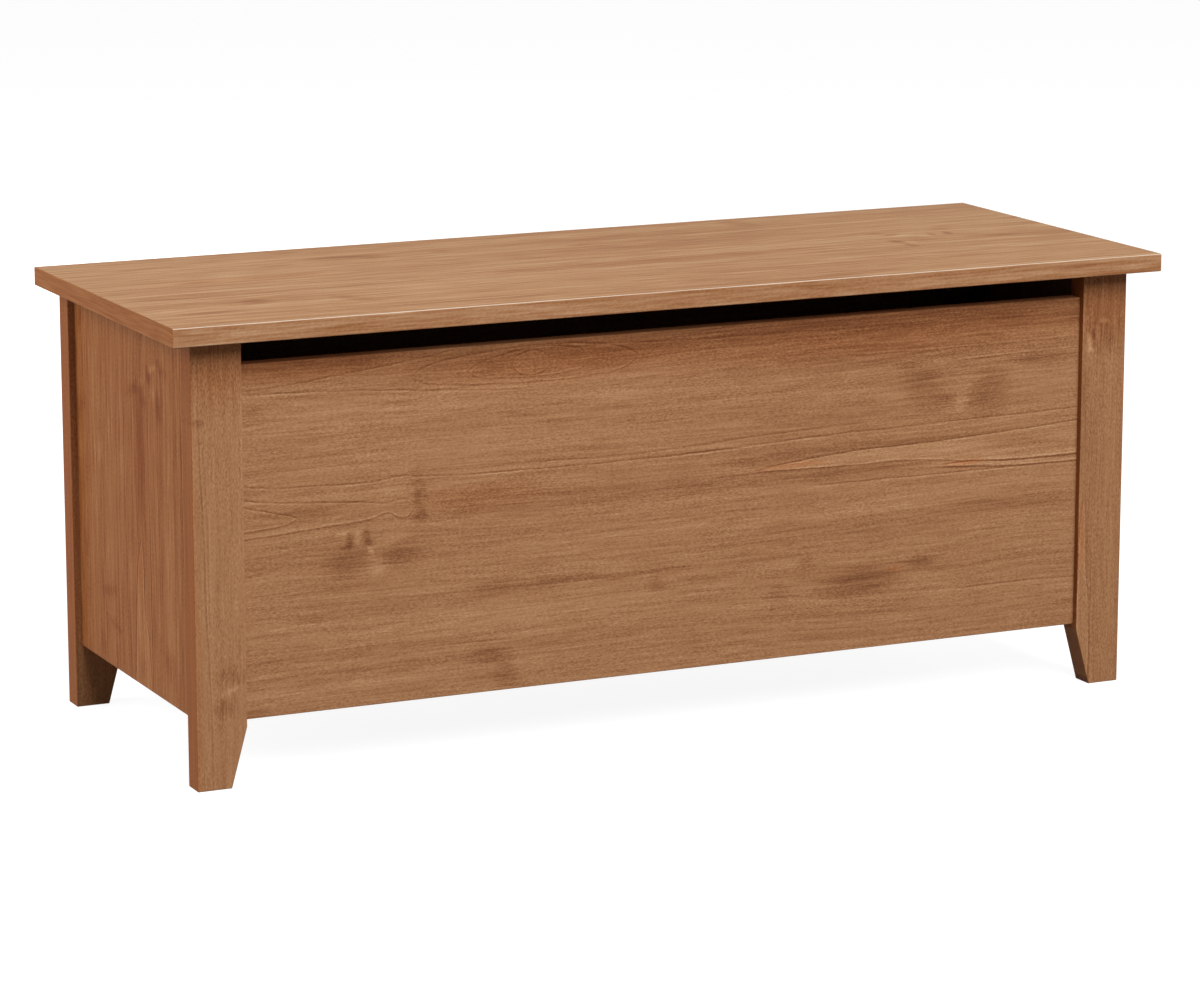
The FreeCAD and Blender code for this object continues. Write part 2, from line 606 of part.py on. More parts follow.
# Boards
def lid_panel():
    """The lid, with a rounder front top edge and pockets for its hinge leaves."""
    half = LID_LENGTH / 2
    top = LEG_HEIGHT + LID_THICKNESS
    board = block((-half, half), (-BACK, BACK), (LEG_HEIGHT, top))
    corner = V(0, -BACK, top)
    near = 2 * LID_FRONT_ROUNDING
    front_top = [edge for edge in board.Edges if edge.CenterOfMass.isEqual(corner, near)]
    board = board.makeFillet(LID_FRONT_ROUNDING, front_top)
    others = [edge for edge in board.Edges if not edge.CenterOfMass.isEqual(corner, near)]
    board = board.makeFillet(EDGE_ROUNDING, others)
    cuts = hinge_cuts(UP)
    for place in LID_BRACKET_SCREWS:
        cuts.append(screw_hole(STAY_SCREW, place, ALONG_Z))
        cuts.append(screw_hole(STAY_SCREW, flipped(place), ALONG_Z))
    return board.cut(cuts)


def front_panel():
    board = block(
        (-BETWEEN_LEGS, BETWEEN_LEGS),
        (FRONT_INSIDE - PANEL_THICKNESS, FRONT_INSIDE),
        (PANEL_BOTTOM, FRONT_PANEL_TOP),
    )
    holes = joint_holes(FRONT_PANEL_JOINT) + joint_holes(opposite(FRONT_PANEL_JOINT))
    holes += [screw_hole(BATTEN_SCREW, place, -ALONG_Y) for place in FRONT_BATTEN_SCREWS]
    return eased(board, ALONG_X).cut(holes)


def back_panel():
    board = block((-BETWEEN_LEGS, BETWEEN_LEGS), (BACK_INSIDE, BACK), (PANEL_BOTTOM, LEG_HEIGHT))
    holes = joint_holes(BACK_PANEL_JOINT) + joint_holes(opposite(BACK_PANEL_JOINT))
    holes += [screw_hole(BATTEN_SCREW, place, ALONG_Y) for place in REAR_BATTEN_SCREWS]
    return eased(board, ALONG_X).cut(holes + hinge_cuts(DOWN))


def left_side_panel():
    board = block(
        (-SIDE_OUTSIDE, -SIDE_INSIDE), (FRONT_INSIDE, REAR_LEG_FRONT), (PANEL_BOTTOM, LEG_HEIGHT)
    )
    holes = joint_holes(SIDE_FRONT_JOINT) + joint_holes(SIDE_REAR_JOINT)
    holes += [screw_hole(BATTEN_SCREW, place, -ALONG_X) for place in LEFT_BATTEN_SCREWS]
    holes += [screw_hole(STAY_SCREW, place, -ALONG_X) for place in CARCASS_BRACKET_SCREWS]
    return eased(board, ALONG_Y).cut(holes)


def base_panel():
    """The loose floor of the chest, notched round the rear legs."""
    levels = (BATTEN_TOP, BATTEN_TOP + BASE_THICKNESS)
    half_length = SIDE_INSIDE - BASE_LAYING_GAP
    half_back = BETWEEN_LEGS - BASE_LAYING_GAP
    front = FRONT_INSIDE + BASE_LAYING_GAP
    main = block((-half_length, half_length), (front, REAR_LEG_FRONT - BASE_LAYING_GAP), levels)
    tongue = block((-half_back, half_back), (front, BACK_INSIDE - BASE_LAYING_GAP), levels)
    return united([main, tongue])


def both_ends(solids):
    """Small parts of the left end together with those of the right end."""
    return solids + [mirrored(solid) for solid in solids]


pieces = {}

front_left = left_leg(FRONT, [FRONT_PANEL_JOINT, SIDE_FRONT_JOINT])
rear_left = left_leg(REAR_LEG_FRONT, [BACK_PANEL_JOINT, SIDE_REAR_JOINT])
pieces["front_left_leg"] = front_left
pieces["front_right_leg"] = mirrored(front_left)
pieces["rear_left_leg"] = rear_left
pieces["rear_right_leg"] = mirrored(rear_left)

side = left_side_panel()
pieces["left_side_panel"] = side
pieces["right_side_panel"] = mirrored(side)
pieces["front_panel"] = front_panel()
pieces["back_panel"] = back_panel()
pieces["base_panel"] = base_panel()
pieces["lid_panel"] = lid_panel()

long_batten_x = (-LONG_BATTEN_END, LONG_BATTEN_END)
left_batten_x = (-SIDE_INSIDE, LEFT_BATTEN_FACE)
short_batten_y = (SHORT_BATTEN_FRONT, SHORT_BATTEN_REAR)
front_batten_y = (FRONT_INSIDE, FRONT_BATTEN_FACE)
rear_batten_y = (REAR_BATTEN_FACE, BACK_INSIDE)
left_batten = batten(left_batten_x, short_batten_y, -ALONG_X, LEFT_BATTEN_SCREWS)
pieces["front_batten"] = batten(long_batten_x, front_batten_y, -ALONG_Y, FRONT_BATTEN_SCREWS)
pieces["rear_batten"] = batten(long_batten_x, rear_batten_y, ALONG_Y, REAR_BATTEN_SCREWS)
pieces["left_batten"] = left_batten
pieces["right_batten"] = mirrored(left_batten)

batten_screws = [screw(BATTEN_SCREW, place, -ALONG_Y) for place in FRONT_BATTEN_SCREWS]
batten_screws += [screw(BATTEN_SCREW, place, ALONG_Y) for place in REAR_BATTEN_SCREWS]
batten_screws += both_ends([screw(BATTEN_SCREW, place, -ALONG_X) for place in LEFT_BATTEN_SCREWS])
cams = [(meeting, height) for meeting in ALL_JOINTS for height in cam_heights(meeting)]
pieces["batten_screws"] = Part.makeCompound(batten_screws)
all_dowels = [dowel for meeting in ALL_JOINTS for dowel in dowels(meeting)]
pieces["wooden_dowels"] = Part.makeCompound(all_dowels)
pieces["cam_bolts"] = Part.makeCompound([cam_bolt(meeting, height) for meeting, height in cams])
pieces["cam_locks"] = Part.makeCompound([cam_lock(meeting, height) for meeting, height in cams])

hinge_places = [place for centre in HINGE_CENTRES for place in hinge_screw_places(centre)]
for end, centre in zip(("left", "right"), HINGE_CENTRES):
    pieces[end + "_hinge_carcass_leaf"] = hinge_leaf(centre, DOWN, 0)
    pieces[end + "_hinge_lid_leaf"] = hinge_leaf(centre, UP, 1)
    pieces[end + "_hinge_pin"] = hinge_pin(centre)
hinge_carcass_screws = [screw(HINGE_SCREW, place, -ALONG_Z) for place in hinge_places]
hinge_lid_screws = [screw(HINGE_SCREW, place, ALONG_Z) for place in hinge_places]
pieces["hinge_carcass_screws"] = Part.makeCompound(hinge_carcass_screws)
pieces["hinge_lid_screws"] = Part.makeCompound(hinge_lid_screws)

stay = {
    "tube": stay_tube(),
    "tube_eye": stay_eye(CARCASS_PIVOT, STAY_LINE),
    "guide": stay_guide(),
    "rod": stay_rod(),
    "rod_eye": stay_eye(LID_PIVOT, -STAY_LINE),
    "piston": stay_piston(),
    "carcass_bracket": stay_carcass_bracket(),
    "lid_bracket": stay_lid_bracket(),
}
for name, shape in stay.items():
    pieces["left_stay_" + name] = shape
    pieces["right_stay_" + name] = mirrored(shape)
carcass_screws = [screw(STAY_SCREW, place, -ALONG_X) for place in CARCASS_BRACKET_SCREWS]
lid_screws = [screw(STAY_SCREW, place, ALONG_Z) for place in LID_BRACKET_SCREWS]
pieces["stay_carcass_screws"] = Part.makeCompound(both_ends(carcass_screws))
pieces["stay_lid_screws"] = Part.makeCompound(both_ends(lid_screws))
pieces["stay_carcass_clips"] = Part.makeCompound(both_ends([stay_clip(CARCASS_PIVOT)]))
pieces["stay_lid_clips"] = Part.makeCompound(both_ends([stay_clip(LID_PIVOT)]))

os.makedirs("parts", exist_ok=True)
for name, shape in pieces.items():
    shape.exportStep("parts/" + name + ".step")
    print(name, "solids", len(shape.Solids), "valid", shape.isValid(), "volume", round(shape.Volume, 1))
print("hinge axis", HINGE_Y, HINGE_Z)
print("lid pivot", [round(value, 4) for value in LID_PIVOT])
print("carcass pivot", [round(value, 4) for value in CARCASS_PIVOT])
print("stay radius", STAY_RADIUS, "tube length", round(STAY_TUBE_LENGTH, 2))
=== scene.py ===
# %% [markdown]
# # Dressing a wooden toy box
# The CAD model gives this toy box its true sizes: boards, legs, hinges and lid stays, each a solid of
# its own. This lesson adds what CAD leaves out, the look of the materials. The solids are loaded as a
# fixed frame in metres, so every pattern below can be laid out in real millimetres of board.

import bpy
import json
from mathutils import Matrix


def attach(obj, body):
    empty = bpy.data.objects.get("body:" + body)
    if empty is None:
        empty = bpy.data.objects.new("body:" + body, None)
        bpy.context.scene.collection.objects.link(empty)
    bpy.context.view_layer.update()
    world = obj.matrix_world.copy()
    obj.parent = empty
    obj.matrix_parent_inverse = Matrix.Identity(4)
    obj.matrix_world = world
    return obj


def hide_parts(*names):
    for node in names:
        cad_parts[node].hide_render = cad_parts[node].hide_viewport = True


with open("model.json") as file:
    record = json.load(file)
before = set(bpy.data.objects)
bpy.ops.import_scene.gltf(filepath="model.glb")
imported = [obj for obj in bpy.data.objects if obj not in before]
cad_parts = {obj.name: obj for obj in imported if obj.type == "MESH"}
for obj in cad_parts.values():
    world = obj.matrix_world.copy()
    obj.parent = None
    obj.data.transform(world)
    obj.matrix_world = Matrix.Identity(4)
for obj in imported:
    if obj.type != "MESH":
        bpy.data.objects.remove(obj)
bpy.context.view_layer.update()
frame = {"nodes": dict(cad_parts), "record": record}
nodes = frame["nodes"]
slot_of = {name: solid.data.materials[0].name for name, solid in nodes.items()}

# %% [markdown]
# ## The camera
# The box was seen from its left front, from well back and a little above, so that its long edges
# stay almost parallel. A long lens far away gives that calm view. The camera is turned to the right
# and tilted down, and has no lens shift, so it can be carried round to any other side.

# %% A long lens at the left front
from math import radians

import bpy

CAMERA_PLACE = (-1.8625, -3.9468, 1.1233)
TURN_TO_THE_RIGHT = radians(25.22)
TILT_DOWN = radians(11.94)
SENSOR_WIDTH = 36
FOCAL_LENGTH = 133.2

lens = bpy.data.cameras.new("studio_camera")
lens.sensor_fit = "HORIZONTAL"
lens.sensor_width = SENSOR_WIDTH
lens.lens = FOCAL_LENGTH
camera = bpy.data.objects.new("studio_camera", lens)
camera.location = CAMERA_PLACE
camera.rotation_euler = (radians(90) - TILT_DOWN, 0, -TURN_TO_THE_RIGHT)
bpy.context.scene.collection.objects.link(camera)
bpy.context.scene.camera = camera
bpy.context.scene.view_settings.view_transform = "Standard"
print(f"{FOCAL_LENGTH} mm lens, {camera.location.length:.2f} m from the middle of the floor")

# %% [markdown]
# ## Seeing a white studio
# A catalogue picture has no horizon: floor and backdrop melt into white. Lighting them until they
# burn out would spoil the wood, so a Light Path node asks what kind of ray is looking. Rays from the
# camera, and those mirrored or bent by metal, see white. All other rays see the true, dimmer surface.

# %% Which rays see the white backdrop


def seen_directly(tree):
    """1 for a ray from the camera or one that a shiny or clear surface sends on, otherwise 0."""
    path = tree.nodes.new("ShaderNodeLightPath")
    total = path.outputs["Is Camera Ray"]
    for name in ("Is Glossy Ray", "Is Transmission Ray"):
        either = tree.nodes.new("ShaderNodeMath")
        either.operation = "MAXIMUM"
        tree.links.new(total, either.inputs[0])
        tree.links.new(path.outputs[name], either.inputs[1])
        total = either.outputs[0]
    return total


print("white for camera, glossy and transmission rays")

# %% [markdown]
# ## The light all round
# A studio's white ceiling is its largest lamp. So the light all round is strongest overhead and fades
# towards the horizon, which leaves a soft shade under the lid and keeps the finger gap dark. In a world,
# the Generated coordinate is the direction of the ray, and its Z tells how steeply that ray looks up.

# %% A bright ceiling that fades to the horizon
HORIZON_LIGHT = 0.15
CEILING_LIGHT = 0.25

room = bpy.data.worlds.new("white_studio")
room.use_nodes = True
studio = room.node_tree
studio.nodes.clear()
direction = studio.nodes.new("ShaderNodeTexCoord")
parts = studio.nodes.new("ShaderNodeSeparateXYZ")
studio.links.new(direction.outputs["Generated"], parts.inputs[0])
fade = studio.nodes.new("ShaderNodeMapRange")
fade.inputs["To Min"].default_value = HORIZON_LIGHT
fade.inputs["To Max"].default_value = CEILING_LIGHT
studio.links.new(parts.outputs["Z"], fade.inputs["Value"])
soft_light = studio.nodes.new("ShaderNodeBackground")
soft_light.inputs["Color"].default_value = (1, 1, 1, 1)
studio.links.new(fade.outputs["Result"], soft_light.inputs["Strength"])
white_wall = studio.nodes.new("ShaderNodeBackground")
white_wall.inputs["Color"].default_value = (1, 1, 1, 1)
white_wall.inputs["Strength"].default_value = 1
chosen = studio.nodes.new("ShaderNodeMixShader")
studio.links.new(seen_directly(studio), chosen.inputs[0])
studio.links.new(soft_light.outputs[0], chosen.inputs[1])
studio.links.new(white_wall.outputs[0], chosen.inputs[2])
room_out = studio.nodes.new("ShaderNodeOutputWorld")
studio.links.new(chosen.outputs[0], room_out.inputs["Surface"])
bpy.context.scene.world = room
print("light from", HORIZON_LIGHT, "at the horizon to", CEILING_LIGHT, "overhead")

# %% [markdown]
# ## The floor
# The box stands on a plain pale floor. To the camera it is mostly a glow that reaches white, with a
# part that really takes light, so a faint shadow stays under the box. To the light that bounces about
# it is a mid grey, which keeps the lower boards from being lit as strongly from below as from above.

# %% A round pale floor under the box
import bmesh

FLOOR_RADIUS = 9
FLOOR_SIDES = 96
FLOOR_GREY = 0.2
SHADOW_PART = 0.25
GLOW_PART = 0.9


def floor_finish():
    """A matt floor that the camera sees as white, apart from the shadow."""
    finish = bpy.data.materials.new("pale_floor")
    finish.use_nodes = True
    tree = finish.node_tree
    tree.nodes.clear()
    grey = tree.nodes.new("ShaderNodeBsdfDiffuse")
    grey.inputs["Color"].default_value = (FLOOR_GREY, FLOOR_GREY, FLOOR_GREY, 1)
    shadow = tree.nodes.new("ShaderNodeBsdfDiffuse")
    shadow.inputs["Color"].default_value = (SHADOW_PART, SHADOW_PART, SHADOW_PART, 1)
    glow = tree.nodes.new("ShaderNodeEmission")
    glow.inputs["Strength"].default_value = GLOW_PART
    both = tree.nodes.new("ShaderNodeAddShader")
    tree.links.new(shadow.outputs[0], both.inputs[0])
    tree.links.new(glow.outputs[0], both.inputs[1])
    chosen = tree.nodes.new("ShaderNodeMixShader")
    tree.links.new(seen_directly(tree), chosen.inputs[0])
    tree.links.new(grey.outputs[0], chosen.inputs[1])
    tree.links.new(both.outputs[0], chosen.inputs[2])
    out = tree.nodes.new("ShaderNodeOutputMaterial")
    tree.links.new(chosen.outputs[0], out.inputs["Surface"])
    return finish


disc = bmesh.new()
bmesh.ops.create_circle(disc, cap_ends=True, segments=FLOOR_SIDES, radius=FLOOR_RADIUS)
floor_mesh = bpy.data.meshes.new("floor")
disc.to_mesh(floor_mesh)
disc.free()
floor_mesh.materials.append(floor_finish())
floor = bpy.data.objects.new("floor", floor_mesh)
bpy.context.scene.collection.objects.link(floor)
print("floor", FLOOR_RADIUS * 2, "m across")

# %% [markdown]
# ## The lamps
# One big softbox hangs high in front. It lights lid and front about equally, drops the box's shadow behind
# it, and leaves the dark soft band under the lid's overhang that tells the eye how far the lid stands out.
# Smaller lamps at the left, at the right and behind reach the faces that the main one misses. A lamp could
# be a plane with a glow, but an area lamp is quicker to render, and it can be hidden from the camera and
# from the metal's reflections.

# %% A softbox high in front and three smaller lamps
from mathutils import Vector

BOX_MIDDLE = Vector((0, 0, 0.25))


def softbox(name, place, width, watts):
    """A square lamp that faces the middle of the box and stays out of the picture and of reflections."""
    lamp = bpy.data.lights.new(name, "AREA")
    lamp.shape = "SQUARE"
    lamp.size = width
    lamp.energy = watts
    holder = bpy.data.objects.new(name, lamp)
    holder.location = place
    aim = BOX_MIDDLE - Vector(place)
    holder.rotation_euler = aim.to_track_quat("-Z", "Y").to_euler()
    holder.visible_camera = False
    holder.visible_glossy = False
    bpy.context.scene.collection.objects.link(holder)
    print(name, "at", place, "with", watts, "W")


softbox("main_softbox", (0.3, -3.6, 3.75), 3.4, 325)
softbox("left_lamp", (-3.0, 0.8, 1.5), 2.4, 74)
softbox("right_lamp", (3.2, 0.2, 0.6), 1.6, 50)
softbox("rear_lamp", (0.0, 3.2, 0.6), 1.6, 60)

# %% [markdown]
# ## Arithmetic with nodes
# A wood figure is built from many small sums: this streak plus that knot, a bit paler here. Wiring
# each sum by hand hides the idea. A Signal wraps one output of a node, and Python's plus, minus, times
# and divided by then add the Math nodes, so that the formula can be read as a formula.

# %% A number that varies over the surface


class Signal:
    """One output of a shader node, with ordinary arithmetic."""

    def __init__(self, socket):
        self.socket = socket
        self.tree = socket.id_data

    def math(self, operation, *others):
        """What a Math node makes of this signal and others."""
        node = self.tree.nodes.new("ShaderNodeMath")
        node.operation = operation
        for entry, value in zip(node.inputs, (self, *others)):
            feed(entry, value)
        return Signal(node.outputs[0])

    def __add__(self, other):
        return self.math("ADD", other)

    __radd__ = __add__

    def __sub__(self, other):
        return self.math("SUBTRACT", other)

    def __mul__(self, other):
        return self.math("MULTIPLY", other)

    def __truediv__(self, other):
        return self.math("DIVIDE", other)

    def __neg__(self):
        return self * -1

    def step(self, low, high, top=1):
        """0 below low and top above high, with a soft rise between them."""
        node = self.tree.nodes.new("ShaderNodeMapRange")
        node.interpolation_type = "SMOOTHSTEP"
        feed(node.inputs["Value"], self)
        node.inputs["From Min"].default_value = low
        node.inputs["From Max"].default_value = high
        node.inputs["To Max"].default_value = top
        return Signal(node.outputs["Result"])

    def curve(self, points):
        """The height, from 0 to 1, of a smooth curve through a few points, level beyond both ends."""
        node = self.tree.nodes.new("ShaderNodeFloatCurve")
        start, end = points[0][0], points[-1][0]
        reach = end - start
        feed(node.inputs["Value"], self.math("MULTIPLY_ADD", 1 / reach, -start / reach))
        node.mapping.extend = "HORIZONTAL"
        drawn = node.mapping.curves[0].points
        while len(drawn) < len(points):
            drawn.new(0.5, 0.5)
        for point, (place, height) in zip(drawn, points):
            point.location = ((place - start) / reach, height)
        node.mapping.update()
        return Signal(node.outputs[0])


print("signals ready")

# %% [markdown]
# ## Plugging in and mottling
# Three helpers are used all through the lesson. The first plugs whatever it is given into a node, the
# second joins three signals to a place, and the third lays soft random lumps over the surface. Noise is
# shifted to swing around 0, so that adding it leaves the mean tone alone.

# %% Feed a node and mottle a surface
NOISE_MEAN = 0.5


def feed(entry, value):
    """Puts a signal, a node output or a plain number into a node's input."""
    if isinstance(value, Signal):
        value = value.socket
    if isinstance(value, bpy.types.NodeSocket):
        entry.id_data.links.new(value, entry)
    else:
        entry.default_value = value


def together(along, across, through):
    """Three signals as one place."""
    node = along.tree.nodes.new("ShaderNodeCombineXYZ")
    for entry, value in zip(node.inputs, (along, across, through)):
        feed(entry, value)
    return Signal(node.outputs[0])


def mottle(place, detail, size=1):
    """A soft random signal around 0, with lumps of about that size."""
    node = place.tree.nodes.new("ShaderNodeTexNoise")
    node.inputs["Scale"].default_value = 1 / size
    node.inputs["Detail"].default_value = detail
    feed(node.inputs["Vector"], place)
    return Signal(node.outputs[0]) - NOISE_MEAN


print("helpers ready")

# %% [markdown]
# ## Where a point lies on its board
# Grain runs along a board, so the figure needs the board's own directions: millimetres along the
# grain, across the face and through the thickness. Each board gets a start, like a plank cut from its
# own place in the tree, so no two boards look alike. On a sawn end the edge strip's grain runs along
# the edge, so there the directions change places.

# %% Board directions in millimetres
MM_PER_METRE = 1000
HALF_TURNED = 0.5
TURNED = 0.7
OTHER_PLANK = 3000


def sign_of(axis):
    """-1 for an axis with a minus, such as -x, otherwise 1."""
    return -1 if axis.startswith("-") else 1


def board_directions(tree, directions, start):
    """Millimetres along, across and through a board, and which way its face looks."""
    where = tree.nodes.new("ShaderNodeTexCoord")
    place = tree.nodes.new("ShaderNodeSeparateXYZ")
    normal = tree.nodes.new("ShaderNodeSeparateXYZ")
    feed(place.inputs[0], where.outputs["Object"])
    feed(normal.inputs[0], where.outputs["Normal"])
    facing = {axis: Signal(normal.outputs[axis.upper()]) for axis in "xyz"}
    millimetres = []
    for axis, offset in zip(directions, start):
        reading = Signal(place.outputs[axis[-1].upper()])
        millimetres.append(reading * (sign_of(axis) * MM_PER_METRE) + offset)
    u, v, w = millimetres
    lengthwise = facing[directions[0][-1]]
    sawn_end = lengthwise.math("ABSOLUTE").math("GREATER_THAN", TURNED)
    turned_u = u + (v + OTHER_PLANK - u) * sawn_end
    turned_v = v + (w + OTHER_PLANK - v) * sawn_end
    return (turned_u, turned_v, w), facing


print("board directions ready")

# %% [markdown]
# ## Marks on the face
# A flat-sawn face tells the tree's story in a few marks: dark clouds, pale streaks, the edges of growth
# rings, the tongue where a ring dips out of the face, the smudged lobes round a knot. Clouds, streaks and
# lobes are soft ovals, which a Mapping node set to Texture carries to their place. A ring's edge is a smooth
# curve through a few points, which a Float Curve node holds, and a tongue lies between two such curves.

# %% Soft ovals
OVAL_CORE = 0.8


def placed(face, middle, reach, tilt):
    """The face seen from a mark: its middle at 0 and its rim one unit away."""
    node = face.tree.nodes.new("ShaderNodeMapping")
    node.vector_type = "TEXTURE"
    node.inputs["Location"].default_value = (*middle, 0)
    node.inputs["Rotation"].default_value = (0, 0, radians(tilt))
    node.inputs["Scale"].default_value = (*reach, 1)
    feed(node.inputs["Vector"], face)
    return Signal(node.outputs[0])


def parted(place):
    """The first two numbers of a place."""
    node = place.tree.nodes.new("ShaderNodeSeparateXYZ")
    feed(node.inputs[0], place)
    return Signal(node.outputs["X"]), Signal(node.outputs["Y"])


def oval(face, middle, reach, change, tilt=0):
    """A soft oval: the full change at its middle and 0 from its rim outwards."""
    node = face.tree.nodes.new("ShaderNodeTexGradient")
    node.gradient_type = "SPHERICAL"
    feed(node.inputs["Vector"], placed(face, middle, reach, tilt))
    return Signal(node.outputs["Fac"]).step(0, OVAL_CORE, change)


print("ovals ready")

# %% Ring edges and tongues
CURVE_SPAN = 450
NEUTRAL = 0.5
LATE_WOOD = -0.18
EARLY_WOOD = 0.11
LINE_FADE = 30
TIP_FADE = 4


def below_curve(along, across, points):
    """How many millimetres a place lies below a curve drawn on the face."""
    heights = [(place, height / CURVE_SPAN) for place, height in points]
    return along.curve(heights).math("MULTIPLY_ADD", -CURVE_SPAN, across)


def ring_edge(beyond, strength=1, fill=0):
    """Tone across a ring's edge, by millimetres beyond it: dark late wood, then pale early wood."""
    dark = NEUTRAL + LATE_WOOD * strength
    pale = NEUTRAL + EARLY_WOOD * strength + fill
    rest = NEUTRAL + fill
    profile = [(-5, NEUTRAL), (-2.5, NEUTRAL), (-0.5, dark), (0.4, pale), (2.2, rest), (5, rest)]
    return beyond.curve(profile) - NEUTRAL


def shown(along, points, fade):
    """1 along a curve and 0 past its ends, fading over some millimetres."""
    start, end = points[0][0], points[-1][0]
    return along.curve([(start, 0), (start + fade, 1), (end - fade, 1), (end, 0)])


def ring_line(along, across, points, pale_below=True, strength=1):
    """A growth ring's edge through a few points, which fades in and out."""
    below = below_curve(along, across, points)
    return ring_edge(below if pale_below else -below, strength) * shown(along, points, LINE_FADE)


def tongue(along, across, upper, lower, fill=0.08, strength=1):
    """A patch of early wood between two ring edges that meet at its tip, with a pale rim."""
    above_lower = -below_curve(along, across, lower)
    inside = below_curve(along, across, upper).math("MINIMUM", above_lower)
    return ring_edge(inside, strength, fill) * shown(along, upper, TIP_FADE)


print("ring edges and tongues ready")

# %% [markdown]
# ## The brown wood
# The boards are faced with a smooth mid-brown wood of low contrast. Broad bands, narrow growth lines
# and hair-thin fibres all follow one bent coordinate, so they curve together round the knots, as they
# do in a tree. Short flecks lie on top. The sum is a tone from dark to pale that a colour ramp reads.
# All of it is one stretched noise, used at several lengths and widths.

# %% The brown wood's tones
BROWN_TONES = (
    (0.00, (0.156, 0.059, 0.026)),
    (0.30, (0.253, 0.112, 0.050)),
    (0.50, (0.330, 0.159, 0.074)),
    (0.70, (0.400, 0.210, 0.105)),
    (1.00, (0.520, 0.310, 0.171)),
)
LIVELY_TONES = (
    (0.00, (0.156, 0.045, 0.014)),
    (0.30, (0.253, 0.101, 0.040)),
    (0.50, (0.330, 0.159, 0.074)),
    (0.70, (0.400, 0.222, 0.120)),
    (1.00, (0.520, 0.345, 0.220)),
)
print(len(BROWN_TONES), "tones from dark to pale")

# %% Grain that bends round a knot
SLOW_SWAY = 46
QUICK_SWAY = 4


def streaky(u, v, w, length, width, detail=1):
    """A soft random signal around 0, in streaks of about that length and width in millimetres."""
    return mottle(together(u / length, v / width, w / width), detail)


def bent_grain(u, v, w, swirls):
    """The coordinate across the grain, bent by slow waves and pushed aside by each knot."""
    slow_wave = streaky(u, v, w, length=800, width=260) * SLOW_SWAY
    quick_wave = streaky(u, v, w, length=150, width=40) * QUICK_SWAY
    bent = v + slow_wave + quick_wave
    face = together(u, v, 0)
    for middle, reach, push in swirls:
        beside = parted(placed(face, middle, reach, 0))[1]
        bent = bent - beside * oval(face, middle, reach, push)
    return bent


print("bent grain ready")

# %% Growth lines, rings and flecks
BAND_TONE = 0.26
LINE_TONE = 0.36
FIBRE_TONE = 0.3
RING_SPACING = 19
RING_WANDER = 2
RING_EDGE_AT = 0.6
FLECK_TONE = 0.4
PATCH_TONE = 0.3


def growth_tone(u, bent, w, line_width):
    """Bands, growth lines and fibres that follow the bent grain."""
    bands = streaky(u, bent, w, length=900, width=34, detail=2)
    lines = streaky(u, bent, w, length=400, width=line_width, detail=2)
    slanting_cut = w / 1.8 + u / 110 + bent / 5
    fibres = mottle(together(u / 45, bent / 1.8, slanting_cut), 0)
    return bands * BAND_TONE + lines * LINE_TONE + fibres * FIBRE_TONE


def growth_rings(u, bent, w):
    """Crisp ring edges that come and go along the board."""
    wander = streaky(u, bent, w, length=700, width=70) * RING_WANDER
    phase = (bent / RING_SPACING + wander).math("FRACT")
    visible = streaky(u, bent, w, length=330, width=45).step(0.0, 0.22)
    return ring_edge(phase * RING_SPACING - RING_SPACING * RING_EDGE_AT) * visible


def fleck_tone(u, v, w):
    """Short thin flecks along the grain, stronger in patches."""
    patches = streaky(u, v, w, length=90, width=30).step(-0.25, 0.25)
    slanting_cut = w / 1.2 + u / 9 + v / 4
    flecks = mottle(together(u / 3, v / 1.2, slanting_cut), 0)
    return flecks * (patches * PATCH_TONE + FLECK_TONE)


print("growth rings", RING_SPACING, "mm apart")

# %% [markdown]
# ## From tone to finish
# The tone picks a colour from the ramp. The same flecks, made tiny, give the lacquer its slight
# unevenness as bump and roughness, so the highlights break up a little without looking rough.

# %% Turn a tone into a satin finish


def ramp(tone, stops):
    """The colour for each tone, from dark to pale."""
    node = tone.tree.nodes.new("ShaderNodeValToRGB")
    feed(node.inputs[0], tone)
    points = node.color_ramp.elements
    while len(points) < len(stops):
        points.new(1)
    for point, (position, colour) in zip(points, stops):
        point.position = position
        point.color = (*colour, 1)
    return Signal(node.outputs["Color"])


def mixed(colour, other, amount, how="MULTIPLY"):
    """A colour multiplied by another, or turned into it with how set to MIX, where amount is 1."""
    node = colour.tree.nodes.new("ShaderNodeMix")
    node.data_type = "RGBA"
    node.blend_type = how
    feed(node.inputs["Factor"], amount)
    feed(node.inputs["A"], colour)
    node.inputs["B"].default_value = (*other, 1)
    return Signal(node.outputs["Result"])


def new_finish(name):
    """An empty material with a principled shader, and its node tree."""
    finish = bpy.data.materials.new(name)
    finish.use_nodes = True
    return finish, finish.node_tree, finish.node_tree.nodes["Principled BSDF"]


def relief(shader, height, depth):
    """Fine bumps of about that depth, in millimetres."""
    node = height.tree.nodes.new("ShaderNodeBump")
    node.inputs["Distance"].default_value = depth / MM_PER_METRE
    feed(node.inputs["Height"], height)
    feed(shader.inputs["Normal"], node.outputs[0])


print("finish helpers ready")

# %% [markdown]
# ## One board at a time
# A board is described by its directions, its start in the tree and the marks on its face: where each
# lies, how far it reaches and how much darker or paler it is. The marks are placed on the faces that show,
# because a knot in the right place is what the eye remembers. Real smudges are not smooth: their outlines
# are ragged, and dark and pale fibres run through them, so a streak pattern scales each of them. Only small
# marks keep a crisp outline.

# %% Smudges with ragged outlines
SMALL_LENGTH = 20
SMALL_WIDTH = 10
RAGGED_ALONG = 34
RAGGED_ACROSS = 9
WAVE_ACROSS = 2


